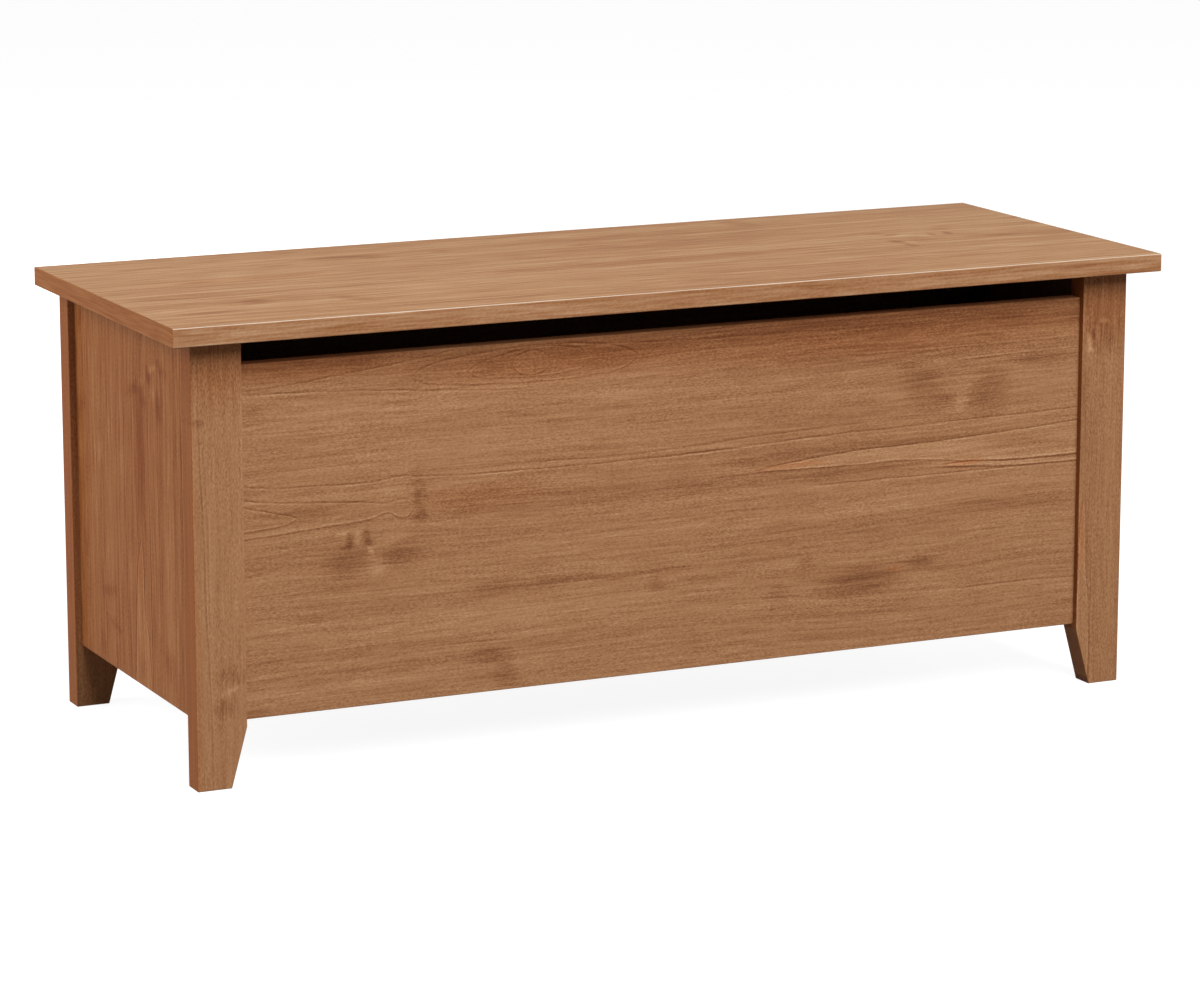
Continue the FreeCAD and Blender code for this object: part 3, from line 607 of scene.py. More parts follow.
def ragged_ground(u, v, w):
    """The face with its places shifted along and across the fibres, which frays what lies on it."""
    along = u + streaky(u, v, w, length=70, width=2.4, detail=2) * RAGGED_ALONG
    across = v + streaky(u, v, w, length=60, width=14, detail=2) * RAGGED_ACROSS
    return together(along, across, 0)


def waved(u, v):
    """Millimetres across the face, gently waved, so that no line is drawn with a ruler."""
    return v + mottle(together(u / 25, v / 12, 0), 2) * WAVE_ACROSS


def smudged(marks, ragged, crisp):
    """The sum of all marks, the small ones on the crisp ground and the others on the ragged one."""
    total = 0
    for middle, reach, *change in marks:
        small = max(reach) < SMALL_LENGTH and min(reach) < SMALL_WIDTH
        total += oval(crisp if small else ragged, middle, reach, *change)
    return total


print("marks under", SMALL_LENGTH, "by", SMALL_WIDTH, "mm stay crisp")

# %% [markdown]
# ## Faces that differ
# The wood is not the same on all sides of a board. A lively figure shows on every face but the one that
# the third direction points to, which is the inner one on the panels. Faces that look left get a redder,
# darker brown, which is painted shade, faces that look up can get a painted sheen, and the lid's long
# rounded front edge is painted pale, which is a painted highlight. The face's own direction, its normal,
# tells one from the other, so no board has to be split into parts. Soft steps between half turned and
# turned keep the change from showing as a hard line on a rounded edge.

# %% Tints for faces and edges
PLAIN = (1, 1, 1)
RED_TINT = (1.04, 0.86, 0.74)
# a redder, darker brown on faces that look left: painted shade
LEFTWARD_SHADE_TINT = (0.88, 0.65, 0.43)
# a pale colour for the lid's rounded front edge: a painted highlight
EDGE_HIGHLIGHT = (0.56, 0.49, 0.42)
ROUNDED_TOP = (0.5, 0.65)
ROUNDED_FRONT = (-0.45, -0.6)


def outer_contrast(facing, through, contrast):
    """The contrast of the figure on all faces but the one that through points to, where it is 1."""
    inward = facing[through[-1]] * sign_of(through)
    return inward.step(HALF_TURNED, TURNED, 1 - contrast) + contrast


def tinted(colour, facing, top_sheen_tint, left_shade_tint):
    """A colour with painted sheen on faces that look up and painted shade on faces that look left."""
    colour = mixed(colour, top_sheen_tint, facing["z"].step(HALF_TURNED, TURNED))
    return mixed(colour, left_shade_tint, facing["x"].step(-HALF_TURNED, -TURNED))


def highlight_along_front(colour, facing, streaks):
    """A colour painted pale, in streaks, where the top rounds over to the front: a painted highlight."""
    rounding = facing["z"].step(*ROUNDED_TOP) * facing["y"].step(*ROUNDED_FRONT)
    return mixed(colour, EDGE_HIGHLIGHT, rounding * (streaks * 0.3 + 0.6), "MIX")


print("tints ready")

# %% [markdown]
# ## The finish of a board
# Now all of it comes together in one function. Swirls bend the grain round the knots. Growth, ring edges and
# smudges add up to the tone, the ramp turns it into a colour, reds warm a few patches, and the tints follow.
# Some smudges and reds are painted shade, and the tints are painted sheen on top and painted shade on faces
# that look left. A painted highlight goes along the lid's front edge.
# The lacquer is satin: rather rough and with hardly any shine.

# %% Make the finish of one board
STREAK_TONE = 2.6
MIDDLE_TONE = 0.5
SATIN = 0.5
SHINE = 0.03
FLECK_DEPTH = 0.015


def wood_board(
    name,
    directions,
    start,
    marks=(),
    swirls=(),
    lines=(),
    tongues=(),
    reds=(),
    tones=BROWN_TONES,
    top_sheen_tint=PLAIN,
    left_shade_tint=LEFTWARD_SHADE_TINT,
    contrast=1,
    ring_strength=1,
    line_width=6,
    fleck_strength=1,
    front_highlight=False,
):
    """The wood on one board, brown unless other tones are given."""
    finish, tree, shader = new_finish(name)
    (u, v, w), facing = board_directions(tree, directions, start)
    bent = bent_grain(u, v, w, swirls)
    flecks = fleck_tone(u, v, w) * fleck_strength
    growth = growth_tone(u, bent, w, line_width) + growth_rings(u, bent, w) * ring_strength
    ragged_face = ragged_ground(u, v, w)
    waved_v = waved(u, v)
    smudges = smudged(marks, ragged_face, together(u, waved_v, 0))
    streaks = streaky(u, v, w, length=70, width=2.2, detail=3) * STREAK_TONE + 1
    edges = sum(ring_line(u, waved_v, *line) for line in lines)
    edges += sum(tongue(u, waved_v, *outline) for outline in tongues)
    liveliness = outer_contrast(facing, directions[2], contrast)
    marked = (growth + streaks * edges) * liveliness + streaks * smudges
    colour = ramp(marked + flecks + MIDDLE_TONE, tones)
    # Reds warm patches of wood; some are painted shade, under the lid's overhang and on the rear left leg.
    for middle, reach, amount in reds:
        colour = mixed(colour, RED_TINT, oval(ragged_face, middle, reach, amount))
    # painted sheen on faces that look up and painted shade on faces that look left
    colour = tinted(colour, facing, top_sheen_tint, left_shade_tint)
    # the lid's rounded front edge is painted pale: a painted highlight
    if front_highlight:
        colour = highlight_along_front(colour, facing, streaks)
    feed(shader.inputs["Base Color"], colour)
    feed(shader.inputs["Roughness"], flecks * 0.25 + SATIN)
    shader.inputs["Specular IOR Level"].default_value = SHINE
    relief(shader, flecks, FLECK_DEPTH)
    print(f"{name}: {len(tree.nodes)} nodes")
    return finish


print("satin finish with roughness", SATIN)

# %% [markdown]
# ## The front panel
# The front is one long board with level grain. A dark red cloud runs along its top, partly the wood's own
# colour and partly painted shade under the lid's overhang. A knot with dark wings sits at the upper right, a
# smaller one at the left, and growth rings cross its middle and end in tongues.
# Places are millimetres from the upper left corner, first along the board and then down. A mark gives its
# middle, its reach, how much darker or paler it is, and for some a tilt in degrees.

# %% Clouds and knots on the front
FRONT_MARKS = [
    # The marks along the top edge are partly the wood's red cloud and partly painted shade under the lid.
    ((60, 4), (160, 16), -0.22),
    ((300, 18), (200, 26), -0.12),
    ((680, 12), (480, 34), -0.24),
    ((660, 40), (420, 16), -0.12),
    ((385, 59), (52, 9), 0.16),
    ((12, 45), (16, 8), -0.16),
    ((702, 55), (22, 7), -0.16),
    ((720, 75), (34, 30), -0.19, 30),
    ((744, 89), (20, 14), -0.16, 20),
    ((797, 88), (36, 32), -0.19, -40),
    ((764, 96), (12, 18), 0.12),
    ((856, 57), (50, 12), -0.20),
    ((178, 134), (10, 36), -0.20),
    ((177, 138), (6, 10), -0.16),
    ((180, 160), (12, 9), -0.20),
    ((60, 146), (56, 7), -0.16),
    ((240, 146), (90, 20), -0.08),
    ((108, 176), (6, 11), -0.30),
    ((104, 182), (9, 3), -0.24),
    ((125, 172), (6, 12), -0.24),
    ((128, 179), (6, 6), -0.20),
    ((116, 174), (4, 11), 0.20),
    ((100, 170), (10, 4), 0.14),
    ((129, 187), (4, 8), 0.26, -30),
    ((142, 182), (19, 4), 0.16, -8),
    ((136, 202), (12, 18), 0.16),
    ((155, 174), (24, 8), 0.10),
    ((104, 198), (34, 18), -0.17),
    ((160, 196), (32, 18), -0.19),
    ((110, 218), (60, 7), -0.12),
    ((430, 155), (320, 14), -0.10),
    ((560, 136), (90, 9), -0.14),
    ((680, 131), (180, 5), -0.12),
    ((640, 157), (130, 8), -0.14),
    ((836, 142), (60, 11), -0.20),
    ((810, 202), (110, 12), -0.14),
    ((600, 214), (300, 16), -0.05),
    ((300, 234), (110, 9), -0.20),
    ((440, 236), (160, 4), -0.14),
    ((428, 248), (14, 12), -0.16),
    ((490, 247), (60, 6), -0.10),
    ((562, 270), (16, 14), -0.14),
    ((594, 246), (12, 14), -0.12),
    ((652, 271), (62, 20), -0.28),
    ((720, 254), (26, 7), -0.24),
    ((250, 300), (34, 16), -0.18),
    ((268, 322), (22, 16), -0.20, 40),
    ((10, 332), (26, 8), -0.18),
]
print(len(FRONT_MARKS), "marks on the front")

# %% [markdown]
# A ring edge is a list of points, then whether the pale wood lies below it, then its strength. A tongue has
# an upper and a lower edge, then how much paler it is inside, then its strength. Where the later ones are
# left out, the functions fill them in.

# %% Growth rings on the front
FRONT_LINES = [
    ([(-10, 114), (30, 119), (80, 121), (130, 122), (160, 119), (185, 121), (300, 124), (520, 122)],),
    ([(430, 124), (520, 121), (600, 118), (700, 116), (910, 112)],),
    ([(300, 117), (420, 118), (560, 111), (660, 109)], True, 0.7),
    ([(600, 167), (700, 167), (800, 167), (910, 167)],),
    ([(700, 158), (780, 161), (830, 164), (910, 166)], False, 0.8),
    ([(-10, 29), (60, 31), (140, 35), (200, 40), (290, 46)], True, 0.8),
    ([(-10, 26), (50, 23), (110, 16), (150, 12), (220, 2)], True, 0.9),
    ([(330, 4), (400, 9), (470, 11), (600, 12)], True, 0.7),
    ([(640, 39), (760, 40), (910, 38)], False, 0.7),
    ([(760, 53), (830, 51), (910, 50)], False, 0.9),
    ([(760, 287), (830, 286), (910, 288)],),
    ([(190, 287), (230, 287), (290, 288)], True, 0.8),
]
FRONT_TONGUES = [
    (
        [(-20, 125), (40, 134), (80, 137), (120, 140), (145, 143), (158, 141), (168, 142), (176, 147)],
        [(-20, 166), (80, 160), (130, 156), (148, 152), (158, 157), (167, 157), (172, 152), (176, 147)],
        0.0,
    ),
    ([(-20, 128), (20, 140), (40, 145), (55, 149)], [(-20, 158), (30, 156), (48, 153), (55, 149)], 0.0),
    (
        [(535, 147), (560, 143), (600, 139), (640, 136), (700, 135), (820, 130), (910, 125)],
        [(535, 147), (580, 148), (640, 149), (700, 149), (740, 152), (790, 157), (910, 158)],
    ),
    ([(745, 159), (770, 157), (820, 160), (910, 161)], [(745, 159), (780, 162), (830, 165), (910, 166)]),
    (
        [(172, 25), (182, 18), (205, 12), (240, 8), (300, 4), (360, 7), (395, 14), (408, 21)],
        [(172, 25), (185, 30), (215, 34), (300, 38), (360, 36), (395, 30), (408, 21)],
        0.0,
        0.7,
    ),
    (
        [(230, 24), (240, 18), (262, 12), (300, 6), (335, 8), (350, 14), (354, 21)],
        [(230, 24), (240, 29), (265, 32), (300, 33), (335, 31), (350, 27), (354, 21)],
        0.0,
        0.7,
    ),
    (
        [(276, 20), (279, 15), (286, 11), (296, 9), (306, 11), (312, 16), (314, 20)],
        [(276, 20), (280, 26), (288, 30), (296, 31), (306, 29), (312, 25), (314, 20)],
        0.04,
        0.7,
    ),
]
print(len(FRONT_LINES), "ring edges and", len(FRONT_TONGUES), "tongues on the front")

# %% The front panel's board
front_board = wood_board(
    "front_board",
    ("x", "-z", "y"),
    (450, 400, 168),
    marks=FRONT_MARKS,
    swirls=[((130, 180), (110, 60), 10), ((760, 80), (120, 60), 8)],
    lines=FRONT_LINES,
    tongues=FRONT_TONGUES,
    reds=[
        # The reds along the top edge warm the same band: partly the wood, partly painted shade under the
        # lid.
        ((60, 4), (200, 26), 0.8),
        ((300, 16), (200, 34), 0.6),
        ((680, 10), (500, 46), 0.75),
        ((580, 144), (60, 5), 0.7),
        ((770, 157), (40, 4), 0.9),
        ((692, 259), (12, 5), 1.0),
        ((240, 146), (100, 20), 0.35),
    ],
    contrast=1.2,
    ring_strength=0.3,
)

# %% [markdown]
# ## The lid
# The lid is the board that meets the most light, and its figure is lively: broad pale and dark lines, a knot
# near the right end, and smudges along the left. Places are millimetres from the rear left corner, first
# along the lid and then towards the front. Its top gets a slightly greener tint than the other boards, a
# painted sheen that stands for the lacquer's glancing reflection, and its rounded front edge a painted
# highlight.

# %% Clouds, knots and growth rings on the lid
LID_MARKS = [
    ((90, 62), (56, 7), -0.17),
    ((295, 73), (68, 15), -0.21),
    ((328, 89), (26, 11), -0.11),
    ((218, 97), (28, 7), -0.15),
    ((400, 78), (16, 11), -0.10),
    ((545, 100), (20, 12), -0.10),
    ((758, 36), (24, 34), -0.14, -35),
    ((700, 116), (100, 9), -0.17),
    ((110, 163), (30, 11), -0.14),
    ((185, 158), (56, 11), -0.11),
    ((560, 223), (330, 20), -0.08),
    ((38, 240), (40, 14), -0.13),
    ((96, 232), (40, 10), -0.10),
    ((853, 162), (15, 11), -0.18),
    ((866, 173), (13, 9), -0.18),
    ((905, 188), (6, 12), -0.28),
    ((925, 186), (7, 13), -0.29),
    ((930, 160), (19, 11), -0.14),
    ((946, 142), (20, 11), -0.10),
    ((848, 216), (9, 15), -0.24, -20),
    ((850, 243), (9, 19), -0.18),
    ((872, 182), (19, 7), 0.18),
    ((896, 196), (15, 9), 0.14),
    ((860, 225), (9, 12), 0.18),
    ((970, 222), (30, 8), -0.13),
    ((124, 290), (24, 18), -0.17),
    ((215, 312), (17, 40), -0.17, -40),
    ((62, 331), (54, 10), -0.18),
    ((140, 336), (40, 7), -0.08),
    ((330, 369), (240, 7), -0.13),
    ((580, 369), (70, 10), -0.11),
    ((705, 378), (70, 9), -0.10),
    ((960, 388), (110, 6), -0.11),
    ((625, 330), (46, 9), 0.11),
]
LID_LINES = [
    ([(-10, 201), (60, 202), (140, 204), (260, 207)], False, 1.3),
    ([(190, 206), (330, 207), (520, 207), (700, 208), (850, 209)], False, 0.9),
    ([(50, 251), (200, 246), (310, 242), (360, 238), (430, 233), (520, 230)], True, 1.3),
    ([(220, 228), (300, 227), (380, 224), (460, 222)], False, 1.1),
    ([(430, 240), (560, 240), (700, 239), (850, 240)], True, 0.8),
    ([(10, 255), (60, 257), (140, 259)], True, 1.0),
    ([(-10, 340), (60, 340), (150, 341)], True, 1.0),
    ([(110, 363), (300, 364), (520, 362), (720, 360)], False, 0.9),
    ([(590, 122), (690, 122), (790, 121)], True, 0.8),
    ([(860, 384), (940, 385), (1060, 383)], False, 0.8),
]
print(len(LID_MARKS), "marks and", len(LID_LINES), "ring edges on the lid")

# %% The lid's board
# a greener tint on the lid's top: painted sheen
LID_SHEEN_TINT = (0.97, 1.025, 0.95)

lid_board = wood_board(
    "lid_board",
    ("x", "-y", "-z"),
    (525, 200, 444),
    marks=LID_MARKS,
    swirls=[((890, 180), (130, 70), 12), ((160, 295), (120, 60), 10)],
    lines=LID_LINES,
    reds=[((160, 160), (160, 22), 0.4), ((560, 222), (330, 24), 0.25)],
    tones=LIVELY_TONES,
    top_sheen_tint=LID_SHEEN_TINT,
    contrast=1.75,
    ring_strength=0.3,
    line_width=9,
    fleck_strength=0.4,
    # a pale painted highlight along the rounded front edge
    front_highlight=True,
)

# %% [markdown]
# ## The left side
# The side panel's grain stands upright. A large knot lies near the top at the front, and below it a growth
# ring ends in a tall tongue. Places are millimetres from the upper rear corner, first down and then towards
# the front.

# %% The left side's board
left_side_board = wood_board(
    "left_side_board",
    ("-z", "-y", "x"),
    (426, 175, 493),
    marks=[
        ((71, 178), (9, 40), -0.24, 20),
        ((80, 196), (12, 16), -0.18, -30),
        ((64, 192), (8, 18), 0.21, 25),
        ((55, 214), (16, 9), -0.27, 30),
        ((46, 224), (6, 17), 0.22, 15),
        ((43, 250), (10, 26), -0.19, -20),
        ((82, 240), (22, 12), -0.21, 20),
        ((68, 226), (16, 10), 0.18, 20),
        ((30, 14), (16, 12), -0.14),
        ((110, 22), (12, 14), -0.13),
        ((150, 70), (18, 12), 0.14),
        ((140, 190), (90, 24), -0.10),
        ((288, 90), (9, 36), -0.19, 12),
        ((320, 106), (7, 30), -0.18, -8),
        ((345, 68), (20, 14), -0.14),
        ((325, 260), (22, 20), -0.14),
        ((345, 182), (20, 16), -0.14),
        ((250, 152), (60, 9), 0.08),
    ],
    swirls=[((60, 215), (70, 80), 10)],
    lines=[
        ([(190, 212), (280, 212), (370, 212)], True, 1.0),
        ([(60, 211), (130, 211), (210, 212)], True, 0.5),
        ([(75, 168), (140, 168), (225, 166)], False, 0.5),
        ([(80, 140), (140, 141), (210, 140)], True, 0.7),
        ([(220, 144), (290, 144), (370, 142)], True, 0.6),
        ([(75, 303), (150, 303), (220, 304)], True, 0.7),
        ([(230, 318), (300, 318), (370, 317)], True, 0.6),
    ],
    tongues=[
        (
            [(217, 186), (230, 180), (245, 175), (260, 172), (290, 169), (320, 166), (370, 161)],
            [(217, 186), (240, 189), (270, 190), (290, 192), (305, 199), (330, 203), (370, 208)],
        ),
    ],
    reds=[((245, 181), (40, 8), 0.7), ((140, 190), (90, 24), 0.3)],
    tones=LIVELY_TONES,
    contrast=1.8,
    ring_strength=0.3,
    fleck_strength=0.8,
)

# %% [markdown]
# ## The legs
# Each leg is a narrow board with upright grain. The two front ones show a knot, a few smudges and the thin
# dark lines of growth rings that run down close to the edge, and a darker, redder top, which is painted
# shade under the lid's overhang. The rear left one is warmed red along its length, a painted warm shade.
# Places are millimetres from the upper left corner, first down and then across. Every leg starts in its own
# plank, so one loop can make all four.

# %% What each leg shows
LEG_FIGURES = {
    "front_left_leg": {
        "marks": [
            # the first mark darkens the leg's top: painted shade under the lid's overhang
            ((24, 25), (60, 70), -0.12),
            ((76, 6), (5, 9), -0.22),
            ((318, 36), (13, 24), -0.17, -12),
            ((347, 28), (13, 18), -0.19),
            ((332, 34), (4, 19), 0.14, 20),
        ],
        "lines": [
            ([(5, 8), (100, 8), (180, 11), (250, 12), (330, 15), (440, 16)], True, 0.8),
            ([(100, 12), (200, 15), (320, 15)], True, 0.5),
        ],
        # the second red warms the leg's top: painted shade under the lid's overhang
        "reds": [((300, 0), (330, 7), 0.6), ((14, 25), (60, 60), 0.7)],
    },
    "front_right_leg": {
        "marks": [
            # the first mark darkens the leg's top: painted shade under the lid's overhang
            ((28, 25), (70, 70), -0.14),
            ((60, 26), (26, 30), -0.12),
            ((70, 8), (14, 4), 0.26, 10),
            ((79, 9), (4, 8), 0.22),
            ((50, 25), (4, 8), 0.24),
            ((62, 18), (14, 4), 0.18),
            ((64, 12), (9, 4), -0.18),
            ((72, 33), (16, 6), -0.16),
            ((150, 5), (100, 10), -0.10),
            ((240, 25), (420, 120), -0.05),
        ],
        "lines": [([(280, 17), (350, 17), (440, 17)], True, 0.9)],
        "tongues": [
            (
                [(233, 6), (250, 3), (300, 1), (440, 0)],
                [(233, 6), (260, 8), (300, 9), (330, 12), (345, 13), (440, 14)],
            ),
        ],
        # the second red warms the leg's top: painted shade under the lid's overhang
        "reds": [((270, 4), (60, 6), 0.7), ((14, 25), (80, 60), 0.7)],
    },
    # a redder tint along the whole leg: painted warm shade on its faces in shadow
    "rear_left_leg": {"reds": [((213, 25), (400, 80), 0.9)]},
    "rear_right_leg": {},
}
print("figures for", ", ".join(LEG_FIGURES))

# %% The four legs' boards
LEG_TOP = 426
FIRST_PLANK = 2600
PLANK_APART = 700
# a redder, darker brown on the legs' faces that look left: painted shade
LEG_LEFT_SHADE_TINT = (0.81, 0.60, 0.40)

leg_boards = {}
for number, (leg, figure) in enumerate(LEG_FIGURES.items()):
    left_edge = 500 if "left" in leg else -450
    leg_boards[leg] = wood_board(
        leg + "_board",
        ("-z", "x", "y"),
        (LEG_TOP, left_edge, FIRST_PLANK + PLANK_APART * number),
        **figure,
        left_shade_tint=LEG_LEFT_SHADE_TINT,
        contrast=0.7,
        ring_strength=0.5,
        fleck_strength=0.9,
    )

# %% [markdown]
# ## The boards out of sight
# The right side, the back and the base take the same wood from other places in the tree. Only their
# directions and starts differ: upright grain on the side, grain along the length on the back and the base.
# The right side's leftward face looks into the box, away from the light, and goes without the painted
# shade that the other leftward faces get.

# %% The remaining boards
right_side_board = wood_board("right_side_board", ("-z", "y", "-x"), (1426, 1175, 1493), left_shade_tint=PLAIN)
back_board = wood_board("back_board", ("-x", "-z", "-y"), (2450, 1426, 2175))
base_board = wood_board("base_board", ("x", "y", "z"), (4450, 2175, 83))

# %% [markdown]
# ## Softwood battens
# The battens that carry the base are plain sawn softwood. It is the same figure with other tones, a pale
# straw with warm growth lines, so the function for boards is used again and only the ramp changes.

# %% The battens' softwood
STRAW_TONES = (
    (0.00, (0.300, 0.160, 0.065)),
    (0.35, (0.480, 0.310, 0.160)),
    (0.55, (0.580, 0.420, 0.250)),
    (1.00, (0.720, 0.580, 0.390)),
)
long_batten_wood = wood_board("long_batten_wood", ("x", "z", "y"), (900, 4000, 500), tones=STRAW_TONES)
short_batten_wood = wood_board("short_batten_wood", ("y", "z", "x"), (2900, 4300, 800), tones=STRAW_TONES)

# %% [markdown]
# ## Metals
# None of the fittings is one even grey. Plating has slight clouds, its polish is uneven, and rolling or
# casting leaves a fine relief. A metal gets its colour from Metallic and Base Color together, and clouds
# in the roughness are what make a highlight look real. Each row below gives a finish its name, colour and
# roughness, and then in millimetres the size of its clouds and of its grain, and the depth of its relief.

# %% Plated, cast and polished metal
DULLER = 0.72
BRIGHTER = 1.18


def in_millimetres(tree):
    """The place on a piece in millimetres."""
    where = tree.nodes.new("ShaderNodeTexCoord")
    node = tree.nodes.new("ShaderNodeVectorMath")
    node.operation = "SCALE"
    node.inputs["Scale"].default_value = MM_PER_METRE
    feed(node.inputs[0], where.outputs["Object"])
    return Signal(node.outputs["Vector"])


def worked_metal(name, colour, roughness, cloud_size, grain_size, depth):
    """Metal with clouds in its colour and polish and a fine relief, all sizes in millimetres."""
    finish, tree, shader = new_finish(name)
    place = in_millimetres(tree)
    clouds = mottle(place, 3, cloud_size)
    grain = mottle(place, 2, grain_size)
    dull = [part * DULLER for part in colour]
    bright = [part * BRIGHTER for part in colour]
    tone = clouds + grain * 0.4 + MIDDLE_TONE
    feed(shader.inputs["Base Color"], ramp(tone, ((0.2, dull), (0.8, bright))))
    feed(shader.inputs["Roughness"], clouds * 0.25 + grain * 0.12 + roughness)
    shader.inputs["Metallic"].default_value = 1
    relief(shader, grain, depth)
    print(name, "has clouds of", cloud_size, "mm")
    return finish


METALS = {
    "bolt_steel": ("zinc_plated_bolts", (0.56, 0.55, 0.52), 0.34, 3, 0.3, 0.02),
    "cam_zinc": ("cast_zinc_cams", (0.70, 0.71, 0.72), 0.55, 2, 0.5, 0.06),
    "screw_steel": ("zinc_plated_screws", (0.60, 0.60, 0.58), 0.30, 2, 0.25, 0.02),
    "hinge_steel": ("nickel_plated_hinges", (0.46, 0.45, 0.43), 0.30, 7, 0.35, 0.02),
    "pin_steel": ("bright_pins", (0.60, 0.60, 0.60), 0.22, 4, 0.3, 0.01),
    "stay_chrome": ("polished_rods", (0.62, 0.63, 0.64), 0.10, 12, 0.4, 0.004),
    "bracket_steel": ("zinc_plated_brackets", (0.56, 0.56, 0.56), 0.33, 6, 0.4, 0.03),
    "clip_steel": ("dark_spring_clips", (0.16, 0.16, 0.17), 0.38, 2, 0.3, 0.02),
}
finish_of = {slot: worked_metal(*metal) for slot, metal in METALS.items()}

# %% [markdown]
# ## Black paint and black plastic
# The stays' tubes are sprayed satin black, which dries with a slight orange peel. Their ends are moulded
# from black plastic with a finely eroded, duller skin. Both are nearly black, so the difference has to
# come from the roughness and the relief.

# %% The stays' black skins
WEAR_SIZE = 14
WORN_PALER = 2.2


def black_skin(name, colour, roughness, lump_size, depth):
    """A black coat or moulding with a lumpy skin and slightly worn polish, sizes in millimetres."""
    finish, tree, shader = new_finish(name)
    place = in_millimetres(tree)
    wear = mottle(place, 3, WEAR_SIZE)
    lumps = mottle(place, 2, lump_size)
    worn = [part * WORN_PALER for part in colour]
    feed(shader.inputs["Base Color"], ramp(wear + MIDDLE_TONE, ((0.4, colour), (0.9, worn))))
    feed(shader.inputs["Roughness"], wear * 0.3 + lumps * 0.1 + roughness)
    relief(shader, lumps, depth)
    print(name, "has lumps of", lump_size, "mm")
    return finish


finish_of["stay_black_paint"] = black_skin("satin_black_tubes", (0.018, 0.018, 0.019), 0.34, 0.9, 0.05)
finish_of["stay_plastic"] = black_skin("black_plastic_ends", (0.028, 0.028, 0.030), 0.52, 0.25, 0.05)

# %% [markdown]
# ## Put the finishes on the solids
# A CAD node keeps its shape: only the material in its slot changes. Boards are looked up by their own
# names, because each has a figure of its own. Each node arrives with a plain material that is named for
# its slot in the record, so the fittings find their finish by that name.

# %% Dress the CAD nodes


def dress(node_name, finish):
    """Gives a CAD node its finish."""
    for holder in nodes[node_name].material_slots:
        holder.material = finish


board_of = {
    "front_panel": front_board,
    "lid_panel": lid_board,
    "left_side_panel": left_side_board,
    "right_side_panel": right_side_board,
    "back_panel": back_board,
    "base_panel": base_board,
    "front_batten": long_batten_wood,
    "rear_batten": long_batten_wood,
    "left_batten": short_batten_wood,
    "right_batten": short_batten_wood,
    **leg_boards,
}
for node_name, slot in slot_of.items():
    if node_name in board_of:
        dress(node_name, board_of[node_name])
    elif slot in finish_of:
        dress(node_name, finish_of[slot])
    else:
        print(node_name, "is dressed later")
print(len(board_of), "boards dressed, and the fittings by slot")

# %% [markdown]
# ## Finding the small solids
# Screws and dowels come as one CAD node for each kind, with many solids in it. To put a detailed piece in
# place of each, its axis and its head have to be found. A copy of the node's mesh is merged, so that
# solids become separate islands, and each island's box gives its long axis. The wider end is the head.

# %% Find each solid's place and direction
from mathutils import Matrix

WELD_REACH = 1e-6
END_DEPTH = 1e-4


def islands(node_name):
    """The corner points of each separate solid in a CAD node."""
    copy = bmesh.new()
    copy.from_mesh(nodes[node_name].data)
    bmesh.ops.remove_doubles(copy, verts=copy.verts, dist=WELD_REACH)
    seen = set()
    found = []
    for first in copy.verts:
        if first in seen:
            continue
        seen.add(first)
        solid = [first]
        for vertex in solid:
            fresh = [edge.other_vert(vertex) for edge in vertex.link_edges]
            fresh = [other for other in fresh if other not in seen]
            seen.update(fresh)
            solid += fresh
        found.append([vertex.co.copy() for vertex in solid])
    copy.free()
    return found


def seat(points):
    """A matrix that carries a piece with its head at 0 and its tip along +Z to a solid, and that
    solid's length and head radius."""
    low = Vector([min(point[axis] for point in points) for axis in range(3)])
    high = Vector([max(point[axis] for point in points) for axis in range(3)])
    size = high - low
    axis = max(range(3), key=lambda index: size[index])
    middle = (low + high) / 2
    widths = []
    for end in (low, high):
        near = [point for point in points if abs(point[axis] - end[axis]) < END_DEPTH]
        outward = [point - middle for point in near]
        for arm in outward:
            arm[axis] = 0
        widths.append(max(arm.length for arm in outward))
    head_is_low = widths[0] >= widths[1]
    middle[axis] = low[axis] if head_is_low else high[axis]
    direction = Vector((0, 0, 0))
    direction[axis] = 1 if head_is_low else -1
    turn = direction.to_track_quat("Z", "Y").to_matrix().to_4x4()
    return Matrix.Translation(middle) @ turn, size[axis], max(widths)


print(len(islands("batten_screws")), "batten screws found")

# %% [markdown]
# ## Screws with a cross and a thread
# A countersunk wood screw has a flat head with a tapered cross for the driver, a cone under it, a core
# and a spiral thread. The outside is a ring of edges that is extruded from station to station, which
# bmesh does like a lathe. The thread is a small angled profile that spin carries round while it climbs.

# %% Turn a ring and cut a cross
PIT_TAPER = 0.45


def lathed(shape, rim, stations):
    """Carries a ring of edges through (radius, depth) stations and returns the last ring."""
    for radius, depth in stations:
        grown = bmesh.ops.extrude_edge_only(shape, edges=rim)["geom"]
        ring = [part for part in grown if isinstance(part, bmesh.types.BMVert)]
        edges = [part for part in grown if isinstance(part, bmesh.types.BMEdge)]
        rim = [edge for edge in edges if all(vertex in ring for vertex in edge.verts)]
        now = max(vertex.co.xy.length for vertex in ring)
        for vertex in ring:
            vertex.co.xy *= radius / now
            vertex.co.z = depth
    return rim


def driver_cross(shape, reach, width, depth):
    """A tapered cross-shaped pit, and the edges of its mouth."""
    mouth = []
    for quarter in range(4):
        turn = Matrix.Rotation(radians(90 * quarter), 3, "Z")
        for corner in ((reach, -width), (reach, width), (width, width)):
            mouth.append(shape.verts.new(turn @ Vector((*corner, 0))))
    edges = [shape.edges.new((mouth[index - 1], mouth[index])) for index in range(len(mouth))]
    floor_ring = lathed(shape, edges, [(reach * PIT_TAPER, depth)])
    bmesh.ops.edgeloop_fill(shape, edges=floor_ring)
    return edges


print("ring and cross ready")

# %% Build one screw
HEAD_SIDES = 28
STEPS_EACH_TURN = 14


